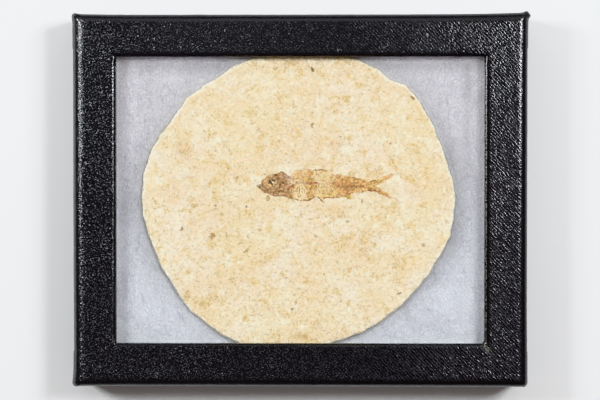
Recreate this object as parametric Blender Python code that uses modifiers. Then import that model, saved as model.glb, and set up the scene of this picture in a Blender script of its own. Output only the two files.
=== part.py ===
"""Fossil fish slab in a glass-topped display case.

A round plate of limestone, with a small fossil fish split open on its face,
lies on a polyester pad in a shallow board tray.  A board lid with a window
and a sheet of glass slips over the tray and is held by two pins.

Frame: metres, +X along the long side of the case, +Y along the short side,
+Z up out of the glass.  The origin is the middle of the flat underside.
"""

import math

import bmesh
import bpy
from mathutils import Matrix

MM = 0.001

# ---- case -------------------------------------------------------------------
CASE_LENGTH = 154.0 * MM        # over the covered lid, along X
CASE_WIDTH = 127.0 * MM         # over the covered lid, along Y
CASE_HEIGHT = 19.0 * MM         # table to the top of the rim
WINDOW_LENGTH = 125.7 * MM      # clear opening in the rim, along X
WINDOW_WIDTH = 97.7 * MM        # clear opening in the rim, along Y

PAPER = 0.3 * MM                # covering paper and gummed tape
BOARD = 1.5 * MM                # greyboard of the tray and of the lid's skirt
RIM_BOARD = 1.6 * MM            # greyboard of the lid's rim
GLUE = 0.1 * MM                 # glue line between paper and board
CLEAR = 0.15 * MM               # room between pieces that only rest

# ---- lid --------------------------------------------------------------------
LID_HEM_Z = 0.5 * MM            # underside of the hem above the table
LID_ROUND = 2.7 * MM            # rounding of the board's outer top edges
LID_CORNER = 1.2 * MM           # rounding of the board's upright corners
WINDOW_ROUND = 0.65 * MM        # rounding of the board's window edge
HEM_HEIGHT = 6.0 * MM           # paper turned up inside the skirt
TURN_IN = 6.15 * MM             # paper turned in under the rim

# ---- glass and the tape that holds it ----------------------------------------
GLASS = 1.5 * MM
TAPE_UNDER = 6.0 * MM           # leg of the tape under the glass
TAPE_DOWN = 4.0 * MM            # leg of the tape down the skirt

# ---- tray -------------------------------------------------------------------
TRAY_PLAY = 0.4 * MM            # play all round between tray and lid hem
TRAY_ROUND = 0.5 * MM
TRAY_TURN_IN = 3.5 * MM

# ---- pad and stone ------------------------------------------------------------
PAD_SOFT_EDGE = 1.5 * MM
SLAB_THICKNESS = 6.1 * MM
SLAB_ROOM = 0.5 * MM            # pad's recess round the stone
FISH_RELIEF = 0.25 * MM         # height of the fish above the bedding plane

# Corners of the stone's chipped outline, millimetres from the case's middle.
SLAB_CORNERS = (
    (-54.0, 1.0), (-53.5, 9.5), (-50.5, 18.0), (-47.5, 23.0), (-41.5, 31.0),
    (-38.5, 35.5), (-33.0, 39.5), (-27.0, 43.0), (-23.0, 46.0), (-16.0, 49.0),
    (-8.5, 51.0), (0.5, 51.7), (8.0, 51.2), (14.0, 50.4), (20.0, 48.5),
    (27.0, 45.0), (31.0, 41.5), (36.0, 39.8), (38.5, 37.2), (41.5, 33.5),
    (46.0, 25.5), (48.5, 18.5), (50.5, 13.0), (52.5, 7.0), (53.3, 1.0),
    (52.5, -6.0), (51.5, -12.0), (48.0, -18.5), (44.5, -24.5), (40.0, -30.0),
    (34.5, -36.0), (27.5, -41.5), (21.5, -45.0), (14.5, -47.6), (8.5, -49.2),
    (1.0, -50.8), (-7.0, -51.2), (-15.0, -50.3), (-21.0, -48.6),
    (-27.5, -45.5), (-32.0, -41.8), (-37.5, -37.5), (-41.0, -32.8),
    (-44.5, -27.0), (-47.5, -22.5), (-49.5, -17.0), (-51.5, -12.0),
    (-53.5, -5.5),
)

# Outline of the fish, head to the left: back, tail, belly, millimetres.
FISH_OUTLINE = (
    (-14.2, 4.6), (-13.0, 6.4), (-12.0, 8.0), (-10.4, 9.2), (-8.5, 9.6),
    (-6.5, 9.7), (-4.8, 9.2), (-3.4, 9.0), (-1.8, 9.6), (0.5, 10.0),
    (4.5, 10.2), (7.0, 10.6), (10.8, 10.3), (10.6, 8.9), (13.0, 8.8),
    (15.5, 8.5), (18.5, 8.0), (21.5, 7.0), (23.8, 6.4), (26.2, 7.0),
    (29.0, 8.2), (33.0, 9.4), (31.0, 7.6), (28.0, 6.1), (26.0, 5.0),
    (27.8, 3.9), (30.4, 2.7), (32.3, 0.4), (29.8, 1.2), (27.0, 2.2),
    (24.6, 3.0), (22.0, 3.1), (19.2, 2.5), (17.6, 0.6), (15.8, 1.0),
    (12.5, 0.9), (8.8, 0.6), (8.2, -0.9), (7.0, 0.8), (5.0, 1.3),
    (3.0, 0.1), (0.5, -0.2), (-3.0, 0.5), (-5.5, 1.2), (-9.0, 1.6),
    (-11.6, 2.6), (-13.4, 3.7),
)

# ---- pins -------------------------------------------------------------------
PIN_Z = 8.3 * MM
PIN_SHAFT = 0.4 * MM            # radius
PIN_HEAD = 0.9 * MM             # radius
PIN_HEAD_HEIGHT = 0.5 * MM
PIN_LENGTH = 10.0 * MM
PIN_POINT = 1.2 * MM
PIN_HOLE = 0.7 * MM             # radius, with the usual room

CORNER_STEPS = 3                # facets round each upright corner
ARC_STEPS = 4                   # facets round each rolled edge

# ---- levels worked out from the sizes above ------------------------------------
HX, HY = CASE_LENGTH / 2, CASE_WIDTH / 2
SKIN = PAPER + GLUE
BOARD_X, BOARD_Y = HX - SKIN, HY - SKIN                 # lid board, outside
BOARD_TOP = CASE_HEIGHT - SKIN
BOARD_UNDER = BOARD_TOP - RIM_BOARD
BOARD_FOOT = LID_HEM_Z + SKIN
SKIRT_X, SKIRT_Y = BOARD_X - BOARD, BOARD_Y - BOARD     # lid board, inside
WIN_X, WIN_Y = WINDOW_LENGTH / 2, WINDOW_WIDTH / 2
WIN_BOARD_X, WIN_BOARD_Y = WIN_X + SKIN, WIN_Y + SKIN
GLASS_TOP = BOARD_UNDER - SKIN - CLEAR
GLASS_UNDER = GLASS_TOP - GLASS
TAPE_TOP = GLASS_UNDER - GLUE
TRAY_X = SKIRT_X - SKIN - TRAY_PLAY                     # covered tray, outside
TRAY_Y = SKIRT_Y - SKIN - TRAY_PLAY
TRAY_RIM = TAPE_TOP - PAPER - CLEAR
TRAY_BOARD_X, TRAY_BOARD_Y = TRAY_X - SKIN, TRAY_Y - SKIN
TRAY_BOARD_RIM = TRAY_RIM - SKIN
TRAY_FLOOR = SKIN + BOARD
TRAY_IN_X, TRAY_IN_Y = TRAY_BOARD_X - BOARD, TRAY_BOARD_Y - BOARD
PAD_X, PAD_Y = TRAY_IN_X - SKIN - CLEAR, TRAY_IN_Y - SKIN - CLEAR
PAD_FOOT = TRAY_FLOOR + CLEAR
PAD_TOP = TRAY_RIM
SLAB_TOP = GLASS_UNDER - CLEAR - FISH_RELIEF
SLAB_FOOT = SLAB_TOP - SLAB_THICKNESS


# ---- a clean scene and two collections ---------------------------------------
for old in list(bpy.data.objects):
    bpy.data.objects.remove(old, do_unlink=True)


def collection(name):
    made = bpy.data.collections.new(name)
    bpy.context.scene.collection.children.link(made)
    return made


PARTS = collection("fossil_fish_slab")
CUTTERS = collection("cutters")


def material(name, colour, roughness, metallic=0.0, transmission=0.0, ior=1.5):
    made = bpy.data.materials.new(name)
    made.use_nodes = True
    shader = made.node_tree.nodes["Principled BSDF"]
    shader.inputs["Base Color"].default_value = (*colour, 1.0)
    shader.inputs["Roughness"].default_value = roughness
    shader.inputs["Metallic"].default_value = metallic
    shader.inputs["Transmission Weight"].default_value = transmission
    shader.inputs["IOR"].default_value = ior
    made.diffuse_color = (*colour, 1.0)
    return made


LEATHERETTE = material("black_leatherette", (0.012, 0.012, 0.013), 0.42)
GREYBOARD = material("greyboard", (0.30, 0.28, 0.25), 0.9)
CLEAR_GLASS = material("clear_glass", (0.98, 0.99, 0.98), 0.02, 0.0, 1.0, 1.52)
GUMMED_TAPE = material("gummed_paper_tape", (0.03, 0.03, 0.03), 0.7)
POLYESTER = material("polyester_batting", (0.80, 0.81, 0.86), 0.95)
LIMESTONE = material("buff_limestone", (0.78, 0.66, 0.44), 0.85)
PIN_STEEL = material("pin_steel", (0.62, 0.61, 0.58), 0.28, 1.0)


def adopt(obj, mat, parent=None):
    """Puts a finished part in the model's collection with its material."""
    for home in list(obj.users_collection):
        home.objects.unlink(obj)
    PARTS.objects.link(obj)
    obj.data.materials.clear()
    obj.data.materials.append(mat)
    if parent is not None:
        obj.parent = parent
    return obj


def cutter(obj):
    for home in list(obj.users_collection):
        home.objects.unlink(obj)
    CUTTERS.objects.link(obj)
    obj.hide_render = True
    obj.display_type = "WIRE"
    return obj


def assembly(name):
    empty = bpy.data.objects.new(name, None)
    PARTS.objects.link(empty)
    return empty


def new_object(name, bm):
    mesh = bpy.data.meshes.new(name)
    bm.to_mesh(mesh)
    bm.free()
    obj = bpy.data.objects.new(name, mesh)
    bpy.context.scene.collection.objects.link(obj)
    return obj


def block(name, half_x, half_y, low, high):
    """A cube primitive stretched to a box about the Z axis, scale applied."""
    bpy.ops.mesh.primitive_cube_add(size=1.0)
    obj = bpy.context.object
    obj.name = name
    obj.data.name = name
    obj.data.transform(Matrix.Translation((0, 0, (low + high) / 2))
                       @ Matrix.Diagonal((2 * half_x, 2 * half_y, high - low, 1)))
    return obj


def round_edges(obj, width, segments, chosen):
    """Bevels the edges for which chosen(middle, direction) is true, or a share of width."""
    bm = bmesh.new()
    bm.from_mesh(obj.data)
    weight = bm.edges.layers.float.new("bevel_weight_edge")
    for edge in bm.edges:
        a, b = edge.verts[0].co, edge.verts[1].co
        edge[weight] = float(chosen((a + b) / 2, (b - a).normalized()))
    bm.to_mesh(obj.data)
    bm.free()
    mod = obj.modifiers.new("rounded edges", "BEVEL")
    mod.limit_method = "WEIGHT"
    mod.width = width
    mod.segments = segments


def cut(obj, tool, label="cut"):
    mod = obj.modifiers.new(label, "BOOLEAN")
    mod.operation = "DIFFERENCE"
    mod.solver = "EXACT"
    mod.object = tool


def thicken(obj, thickness, side=1.0):
    mod = obj.modifiers.new("thickness", "SOLIDIFY")
    mod.thickness = thickness
    mod.offset = side
    mod.solidify_mode = "NON_MANIFOLD"
    mod.nonmanifold_thickness_mode = "CONSTRAINTS"
    mod.nonmanifold_merge_threshold = 0.00001


def rounded_loop(half_x, half_y, radius, z):
    """Points of a rectangle with rounded corners, counter-clockwise."""
    points = []
    for sx, sy, start in ((1, 1, 0), (-1, 1, 90), (-1, -1, 180), (1, -1, 270)):
        cx, cy = sx * (half_x - radius), sy * (half_y - radius)
        for step in range(CORNER_STEPS + 1):
            turn = math.radians(start + 90 * step / CORNER_STEPS)
            points.append((cx + radius * math.cos(turn),
                           cy + radius * math.sin(turn), z))
    return points


def loft(name, loops, cap_first=False, cap_last=False):
    """A surface drawn through closed loops of equal count, loop by loop."""
    bm = bmesh.new()
    rings = [[bm.verts.new(point) for point in loop] for loop in loops]
    for low, high in zip(rings, rings[1:]):
        for i in range(len(low)):
            j = (i + 1) % len(low)
            bm.faces.new((low[i], low[j], high[j], high[i]))
    if cap_first:
        bm.faces.new(list(reversed(rings[0])))
    if cap_last:
        bm.faces.new(rings[-1])
    return new_object(name, bm)


def rolled(x, y, radius, centre_inset, z, start, end, corner):
    """Loops round a rolled edge: a quarter turn about a line inset from x, y."""
    loops = []
    for step in range(ARC_STEPS + 1):
        turn = math.radians(start + (end - start) * step / ARC_STEPS)
        grow = radius * math.cos(turn) - centre_inset
        loops.append(rounded_loop(x + grow, y + grow, corner(turn),
                                  z + radius * math.sin(turn)))
    return loops


def outward(obj):
    """Turns a one-sided sheet so that its faces look away from the board."""
    top = max(obj.data.polygons, key=lambda f: f.center.z)
    if top.normal.z < 0:
        obj.data.flip_normals()
    return obj


# ---- lid: board -------------------------------------------------------------
lid = assembly("lid")
tray = assembly("tray")

lid_board = adopt(block("lid_board", BOARD_X, BOARD_Y, BOARD_FOOT, BOARD_TOP),
                  GREYBOARD, lid)
round_edges(lid_board, LID_ROUND, 4,
            lambda mid, way: LID_CORNER / LID_ROUND if abs(way.z) > 0.9
            else mid.z > BOARD_TOP - 0.1 * MM)
lid_hollow = cutter(block("lid_hollow", SKIRT_X, SKIRT_Y, -5 * MM, BOARD_UNDER))
cut(lid_board, lid_hollow, "hollow")

window_edge = [rounded_loop(WIN_BOARD_X, WIN_BOARD_Y, 0.3 * MM, 10 * MM)]
for step in range(ARC_STEPS + 1):
    turn = math.radians(90 * step / ARC_STEPS)
    spread = WINDOW_ROUND * (1 - math.cos(turn))
    window_edge.append(rounded_loop(
        WIN_BOARD_X + spread, WIN_BOARD_Y + spread, 0.3 * MM + spread,
        BOARD_TOP - WINDOW_ROUND + WINDOW_ROUND * math.sin(turn)))
window_edge.append(rounded_loop(WIN_BOARD_X + WINDOW_ROUND, WIN_BOARD_Y + WINDOW_ROUND,
                                0.3 * MM + WINDOW_ROUND, 25 * MM))
window_cut = cutter(loft("window_cut", window_edge, True, True))
cut(lid_board, window_cut, "window")

# ---- lid: covering paper, one sheet from hem to window turn-in -----------------
edge = LID_ROUND + GLUE
fold = LID_CORNER + GLUE
arris = WINDOW_ROUND + GLUE
sheet = [
    rounded_loop(SKIRT_X - GLUE, SKIRT_Y - GLUE, 0.6 * MM, LID_HEM_Z + PAPER + HEM_HEIGHT),
    rounded_loop(SKIRT_X - GLUE, SKIRT_Y - GLUE, 0.6 * MM, LID_HEM_Z + PAPER),
    rounded_loop(HX - PAPER, HY - PAPER, fold, LID_HEM_Z + PAPER),
]
sheet += rolled(HX - PAPER, HY - PAPER, edge, edge, CASE_HEIGHT - PAPER - edge, 0, 90,
                lambda turn: max(0.4 * MM, fold - edge * (1 - math.cos(turn))))
for step in range(ARC_STEPS + 1):
    turn = math.radians(90 - 90 * step / ARC_STEPS)
    spread = arris * (1 - math.cos(turn))
    sheet.append(rounded_loop(WIN_X + PAPER + spread, WIN_Y + PAPER + spread,
                              0.6 * MM + spread,
                              CASE_HEIGHT - PAPER - arris + arris * math.sin(turn)))
sheet.append(rounded_loop(WIN_X + PAPER, WIN_Y + PAPER, 0.6 * MM, BOARD_UNDER - GLUE))
sheet.append(rounded_loop(WIN_X + TURN_IN, WIN_Y + TURN_IN, 0.6 * MM, BOARD_UNDER - GLUE))
lid_cover = adopt(outward(loft("lid_cover", sheet)), LEATHERETTE, lid)
thicken(lid_cover, PAPER)

# ---- glass and its four strips of gummed tape ----------------------------------
glass_pane = adopt(block("glass_pane", SKIRT_X - CLEAR, SKIRT_Y - CLEAR,
                         GLASS_UNDER, GLASS_TOP), CLEAR_GLASS, lid)
round_edges(glass_pane, 0.2 * MM, 1, lambda mid, way: True)


def tape(name, wall, half_length, turn):
    """An L of tape: one leg under the glass, one down the skirt's inner face."""
    bm = bmesh.new()
    section = [(-half_length, wall - TAPE_UNDER, TAPE_TOP),
               (-half_length, wall, TAPE_TOP),
               (-half_length, wall, TAPE_TOP - TAPE_DOWN)]
    verts = [bm.verts.new(p) for p in section]
    edges = [bm.edges.new(verts[i:i + 2]) for i in range(2)]
    grown = bmesh.ops.extrude_edge_only(bm, edges=edges)["geom"]
    bmesh.ops.translate(bm, vec=(2 * half_length, 0, 0),
                        verts=[g for g in grown if isinstance(g, bmesh.types.BMVert)])
    obj = new_object(name, bm)
    under = max(obj.data.polygons, key=lambda f: f.center.z)
    if under.normal.z > 0:
        obj.data.flip_normals()
    thicken(obj, PAPER)
    obj.rotation_euler.z = math.radians(turn)
    return adopt(obj, GUMMED_TAPE, lid)


tape("glass_tape_back", SKIRT_Y - GLUE, SKIRT_X - SKIN, 0)
tape("glass_tape_front", SKIRT_Y - GLUE, SKIRT_X - SKIN, 180)
side_tape = SKIRT_Y - GLUE - TAPE_UNDER - CLEAR
tape("glass_tape_right", SKIRT_X - GLUE, side_tape, -90)
tape("glass_tape_left", SKIRT_X - GLUE, side_tape, 90)

# ---- tray -------------------------------------------------------------------
tray_board = adopt(block("tray_board", TRAY_BOARD_X, TRAY_BOARD_Y, SKIN, TRAY_BOARD_RIM),
                   GREYBOARD, tray)
round_edges(tray_board, TRAY_ROUND, 2,
            lambda mid, way: abs(way.z) > 0.9 or mid.z < SKIN + 0.1 * MM)
tray_hollow = cutter(block("tray_hollow", TRAY_IN_X, TRAY_IN_Y, TRAY_FLOOR, 30 * MM))
cut(tray_board, tray_hollow, "hollow")

roll = TRAY_ROUND + GLUE
wrap = []
for step in range(3):
    turn = math.radians(-90 + 90 * step / 2)
    inset = 0.4 * MM * (1 - math.cos(turn))
    wrap.append(rounded_loop(TRAY_X - PAPER - inset, TRAY_Y - PAPER - inset, roll,
                             PAPER + 0.4 * MM * (1 + math.sin(turn))))
wrap += [
    rounded_loop(TRAY_X - PAPER, TRAY_Y - PAPER, roll, TRAY_RIM - PAPER),
    rounded_loop(TRAY_IN_X - GLUE, TRAY_IN_Y - GLUE, 0.6 * MM, TRAY_RIM - PAPER),
    rounded_loop(TRAY_IN_X - GLUE, TRAY_IN_Y - GLUE, 0.6 * MM,
                 TRAY_RIM - PAPER - TRAY_TURN_IN),
]
tray_cover = adopt(outward(loft("tray_cover", wrap, cap_first=True)), LEATHERETTE, tray)
thicken(tray_cover, PAPER)

# ---- stone ------------------------------------------------------------------


def slab_loop(inset, z, ragged=0.0):
    """The stone's outline drawn in by inset, unevenly where it is chipped."""
    points = []
    for index, (x, y) in enumerate(reversed(SLAB_CORNERS)):
        reach = math.hypot(x, y) * MM
        chip = ragged * (0.5 + 0.5 * math.sin(2.4 * index) * math.cos(1.1 * index))
        scale = (reach - inset - chip) / reach
        points.append((x * MM * scale, y * MM * scale, z))
    return points


slab = loft("limestone_slab", [
    slab_loop(2.2 * MM, SLAB_FOOT, 1.2 * MM),
    slab_loop(0.6 * MM, SLAB_FOOT + 1.6 * MM, 0.6 * MM),
    slab_loop(0.0, SLAB_TOP - 2.2 * MM, 0.3 * MM),
    slab_loop(0.0, SLAB_TOP - 0.5 * MM, 0.0),
    slab_loop(0.4 * MM, SLAB_TOP, 0.5 * MM),
], True, True)

outline = bpy.data.curves.new("fish_outline", "CURVE")
outline.dimensions = "2D"
outline.fill_mode = "BOTH"
outline.extrude = FISH_RELIEF
spline = outline.splines.new("POLY")
spline.points.add(len(FISH_OUTLINE) - 1)
for point, (x, y) in zip(spline.points, FISH_OUTLINE):
    point.co = (x * MM, y * MM, 0.0, 1.0)
spline.use_cyclic_u = True
drawn = bpy.data.objects.new("fish_outline", outline)
bpy.context.scene.collection.objects.link(drawn)
drawn.location.z = SLAB_TOP
bpy.context.view_layer.update()
evaluated = drawn.evaluated_get(bpy.context.evaluated_depsgraph_get())
fish_mesh = bpy.data.meshes.new_from_object(evaluated)
bm = bmesh.new()
bm.from_mesh(fish_mesh)
bmesh.ops.remove_doubles(bm, verts=bm.verts, dist=0.00001)
bmesh.ops.recalc_face_normals(bm, faces=bm.faces)
bm.to_mesh(fish_mesh)
bm.free()
fish_relief = bpy.data.objects.new("fish_relief", fish_mesh)
bpy.context.scene.collection.objects.link(fish_relief)
fish_relief.matrix_world = drawn.matrix_world
bpy.data.objects.remove(drawn, do_unlink=True)
cutter(fish_relief)

join = slab.modifiers.new("fish", "BOOLEAN")
join.operation = "UNION"
join.solver = "EXACT"
join.object = fish_relief
adopt(slab, LIMESTONE, tray)

# ---- pad with the stone's recess ------------------------------------------------
batting = adopt(block("batting", PAD_X, PAD_Y, PAD_FOOT, PAD_TOP), POLYESTER, tray)
round_edges(batting, PAD_SOFT_EDGE, 3,
            lambda mid, way: abs(way.z) > 0.9 or mid.z > PAD_TOP - 0.1 * MM)
recess = cutter(loft("slab_recess", [
    slab_loop(-SLAB_ROOM, SLAB_FOOT - CLEAR), slab_loop(-SLAB_ROOM, 30 * MM),
], True, True))
cut(batting, recess, "recess")

# ---- pins -------------------------------------------------------------------


def pin(name, side):
    """A steel pin, turned about its axis, pushed in along X from one end."""
    bm = bmesh.new()
    profile = [(0.0, PIN_HEAD_HEIGHT), (0.55 * PIN_HEAD, 0.9 * PIN_HEAD_HEIGHT),
               (PIN_HEAD, 0.45 * PIN_HEAD_HEIGHT), (PIN_HEAD, 0.0), (PIN_SHAFT, 0.0),
               (PIN_SHAFT, -PIN_LENGTH + PIN_POINT), (0.0, -PIN_LENGTH)]
    verts = [bm.verts.new((r, 0.0, z)) for r, z in profile]
    for a, b in zip(verts, verts[1:]):
        bm.edges.new((a, b))
    obj = new_object(name, bm)
    screw = obj.modifiers.new("turn", "SCREW")
    screw.axis = "Z"
    screw.steps = 12
    screw.render_steps = 12
    screw.use_merge_vertices = True
    screw.merge_threshold = 0.00001
    obj.location = (side * (HX + 0.1 * MM), 0.0, PIN_Z)
    obj.rotation_euler.y = side * math.pi / 2
    return adopt(obj, PIN_STEEL)


def pin_hole(side):
    bpy.ops.mesh.primitive_cylinder_add(vertices=16, radius=PIN_HOLE, depth=1.0)
    obj = bpy.context.object
    obj.name = "pin_hole_left" if side < 0 else "pin_hole_right"
    inner, outer = HX - PIN_LENGTH - 0.5 * MM, HX + 4 * MM
    obj.data.transform(Matrix.Diagonal((1, 1, outer - inner, 1)))
    obj.location = (side * (inner + outer) / 2, 0.0, PIN_Z)
    obj.rotation_euler.y = math.pi / 2
    return cutter(obj)


for side, name in ((-1, "pin_left"), (1, "pin_right")):
    pin(name, side)
    hole = pin_hole(side)
    for pierced in (lid_cover, lid_board, tray_cover, tray_board, batting):
        cut(pierced, hole, "pin hole " + name[4:])
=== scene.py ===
import math

import bpy
import numpy as np
from mathutils import Matrix, Vector
from mathutils.geometry import delaunay_2d_cdt


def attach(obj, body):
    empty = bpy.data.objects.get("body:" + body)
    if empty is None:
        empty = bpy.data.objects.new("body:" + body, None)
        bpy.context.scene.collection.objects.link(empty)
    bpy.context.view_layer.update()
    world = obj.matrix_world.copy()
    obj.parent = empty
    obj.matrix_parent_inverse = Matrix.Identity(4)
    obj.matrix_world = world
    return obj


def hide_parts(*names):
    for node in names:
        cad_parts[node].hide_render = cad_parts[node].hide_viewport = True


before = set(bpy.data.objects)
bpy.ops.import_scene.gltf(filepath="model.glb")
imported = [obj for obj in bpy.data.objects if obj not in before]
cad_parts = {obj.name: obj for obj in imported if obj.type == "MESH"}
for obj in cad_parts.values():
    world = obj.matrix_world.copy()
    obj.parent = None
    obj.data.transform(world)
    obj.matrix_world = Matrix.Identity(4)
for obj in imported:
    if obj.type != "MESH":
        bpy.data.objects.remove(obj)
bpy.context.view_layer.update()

MM = 0.001

# ============================================================ sizes, millimetres
# These repeat the solids' own sizes, so that each shown piece lies where its
# solid does.
OX, OY, TOP = 77.0, 63.5, 19.0            # covered lid, half sizes and height
ROLL, ARRIS, CORNER = 3.1, 1.05, 1.6      # roundings: outer, window, upright
WX, WY = 62.85, 48.85                     # window, half sizes
HEM = 0.5                                 # hem of the lid above the table
TURN_X, TURN_Y, TURN_Z = 69.0, 55.0, 16.6  # paper turned in under the rim
SKIRT_X, SKIRT_Y = 74.7, 61.2             # inside of the covered skirt
GLASS_UNDER, GLASS_TOP = 14.95, 16.45
TRAY_X, TRAY_Y, TRAY_RIM = 74.3, 60.8, 14.4
PAD_X, PAD_Y, PAD_FOOT, PAD_TOP = 71.85, 58.35, 2.05, 14.4
SLAB_FOOT, SLAB_TOP = 8.45, 14.55


def px(x, y):
    """A point of the picture, in its 600 x 400 frame, as millimetres on the stone."""
    return (x - 299.9) / 2.925, (200.6 - y) / 2.925


def lin(r, g, b, gain=1.0):
    """A colour as it looks, 0 to 255, as a linear surface colour."""
    def one(v):
        v = v / 255.0
        return v / 12.92 if v <= 0.04045 else ((v + 0.055) / 1.055) ** 2.4
    return tuple(min(1.0, gain * one(v)) for v in (r, g, b))


# ============================================================ noise in numpy
def _hash(ix, iy, iz, seed):
    h = (ix * 374761393 + iy * 668265263 + iz * 1440662683 + seed * 1274126177) & 0xFFFFFFFF
    h = ((h ^ (h >> 13)) * 1274126177) & 0xFFFFFFFF
    h = ((h ^ (h >> 15)) * 2246822519) & 0xFFFFFFFF
    h = h ^ (h >> 16)
    return (h & 0xFFFFFF) / float(0xFFFFFF)


def noise(p, scale, seed=0):
    """Smooth value noise from -1 to 1 at points p (n, 3), cells of 1 / scale."""
    q = np.asarray(p, float) * scale
    base = np.floor(q)
    f = q - base
    f = f * f * f * (f * (f * 6 - 15) + 10)
    i = base.astype(np.int64)
    total = np.zeros(len(q))
    for dx in (0, 1):
        wx = f[:, 0] if dx else 1 - f[:, 0]
        for dy in (0, 1):
            wy = f[:, 1] if dy else 1 - f[:, 1]
            for dz in (0, 1):
                wz = f[:, 2] if dz else 1 - f[:, 2]
                total += wx * wy * wz * _hash(i[:, 0] + dx, i[:, 1] + dy, i[:, 2] + dz, seed)
    return 2 * total - 1


def fbm(p, scale, octaves=4, seed=0, gain=0.5):
    total, amp, norm = 0.0, 1.0, 0.0
    for k in range(octaves):
        total = total + amp * noise(p, scale * 2 ** k, seed + 17 * k)
        norm += amp
        amp *= gain
    return total / norm


def flat3(x, y, z=0.0):
    x = np.asarray(x, float)
    return np.stack([x, np.asarray(y, float) + 0 * x, z + 0 * x], 1)


def smooth(a, b, v):
    t = np.clip((np.asarray(v, float) - a) / (b - a), 0, 1)
    return t * t * (3 - 2 * t)


# ============================================================ meshes
def build_mesh(name, co_mm, faces, smooth_shade=True):
    """A mesh object from points in millimetres and a list of face index arrays."""
    co = np.asarray(co_mm, float) * MM
    mesh = bpy.data.meshes.new(name)
    mesh.vertices.add(len(co))
    mesh.vertices.foreach_set("co", co.astype(np.float32).ravel())
    loops = np.concatenate([np.asarray(f, np.int64).ravel() for f in faces])
    sizes = np.concatenate([np.full(len(f), np.asarray(f).shape[1]) for f in faces])
    mesh.loops.add(len(loops))
    mesh.loops.foreach_set("vertex_index", loops.astype(np.int32))
    mesh.polygons.add(len(sizes))
    starts = np.concatenate([[0], np.cumsum(sizes)[:-1]])
    mesh.polygons.foreach_set("loop_start", starts.astype(np.int32))
    mesh.polygons.foreach_set("use_smooth", np.full(len(sizes), smooth_shade))
    mesh.update(calc_edges=True)
    mesh.validate()
    obj = bpy.data.objects.new(name, mesh)
    bpy.context.scene.collection.objects.link(obj)
    return obj


def attribute(obj, name, values, kind="FLOAT"):
    made = obj.data.attributes.new(name, kind, "POINT")
    made.data.foreach_set("color" if kind == "FLOAT_COLOR" else "value",
                          np.asarray(values, np.float32).ravel())


def finish_piece(obj, mat, slot, *nodes):
    obj.data.materials.clear()
    obj.data.materials.append(mat)
    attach(obj, "root")
    if nodes:
        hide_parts(*nodes)
    return obj


def grid_quads(rows, cols, close_rows=False, close_cols=False):
    """Quads of a rows x cols lattice of points numbered row by row."""
    r = np.arange(rows if close_rows else rows - 1)
    c = np.arange(cols if close_cols else cols - 1)
    rr, cc = np.meshgrid(r, c, indexing="ij")
    r2, c2 = (rr + 1) % rows, (cc + 1) % cols
    return np.stack([rr * cols + cc, rr * cols + c2, r2 * cols + c2, r2 * cols + cc],
                    -1).reshape(-1, 4)


def rounded_loop(hx, hy, radii, z, nx, ny, nc):
    """Points round a rectangle, counter-clockwise from the foot of the right side.
    radii are those of the back right, back left, front left and front right corners."""
    pts = []
    corners = ((1, 1), (-1, 1), (-1, -1), (1, -1))
    for k, (sx, sy) in enumerate(corners):
        r = radii[k]
        prev = radii[k - 1]
        if k == 0:
            a, b, n = (hx, -hy + prev), (hx, hy - r), ny
        elif k == 1:
            a, b, n = (hx - prev, hy), (-hx + r, hy), nx
        elif k == 2:
            a, b, n = (-hx, hy - prev), (-hx, -hy + r), ny
        else:
            a, b, n = (-hx + prev, -hy), (hx - r, -hy), nx
        for i in range(n):
            t = i / n
            pts.append((a[0] + (b[0] - a[0]) * t, a[1] + (b[1] - a[1]) * t))
        cx, cy = sx * (hx - r), sy * (hy - r)
        for i in range(nc):
            turn = math.radians(90 * k + 90 * i / nc)
            pts.append((cx + r * math.cos(turn), cy + r * math.sin(turn)))
    pts = np.array(pts)
    return np.column_stack([pts, np.full(len(pts), z)])


def loft_normals(P, close_rows):
    """Normals of a lofted lattice (rows, cols, 3), away from the board."""
    along = np.roll(P, -1, 1) - np.roll(P, 1, 1)
    across = np.empty_like(P)
    across[1:-1] = P[2:] - P[:-2]
    if close_rows:
        across[0], across[-1] = P[1] - P[-1], P[0] - P[-2]
    else:
        across[0], across[-1] = P[1] - P[0], P[-1] - P[-2]
    n = np.cross(along, across)
    return n / np.maximum(np.linalg.norm(n, axis=-1, keepdims=True), 1e-9)


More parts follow.
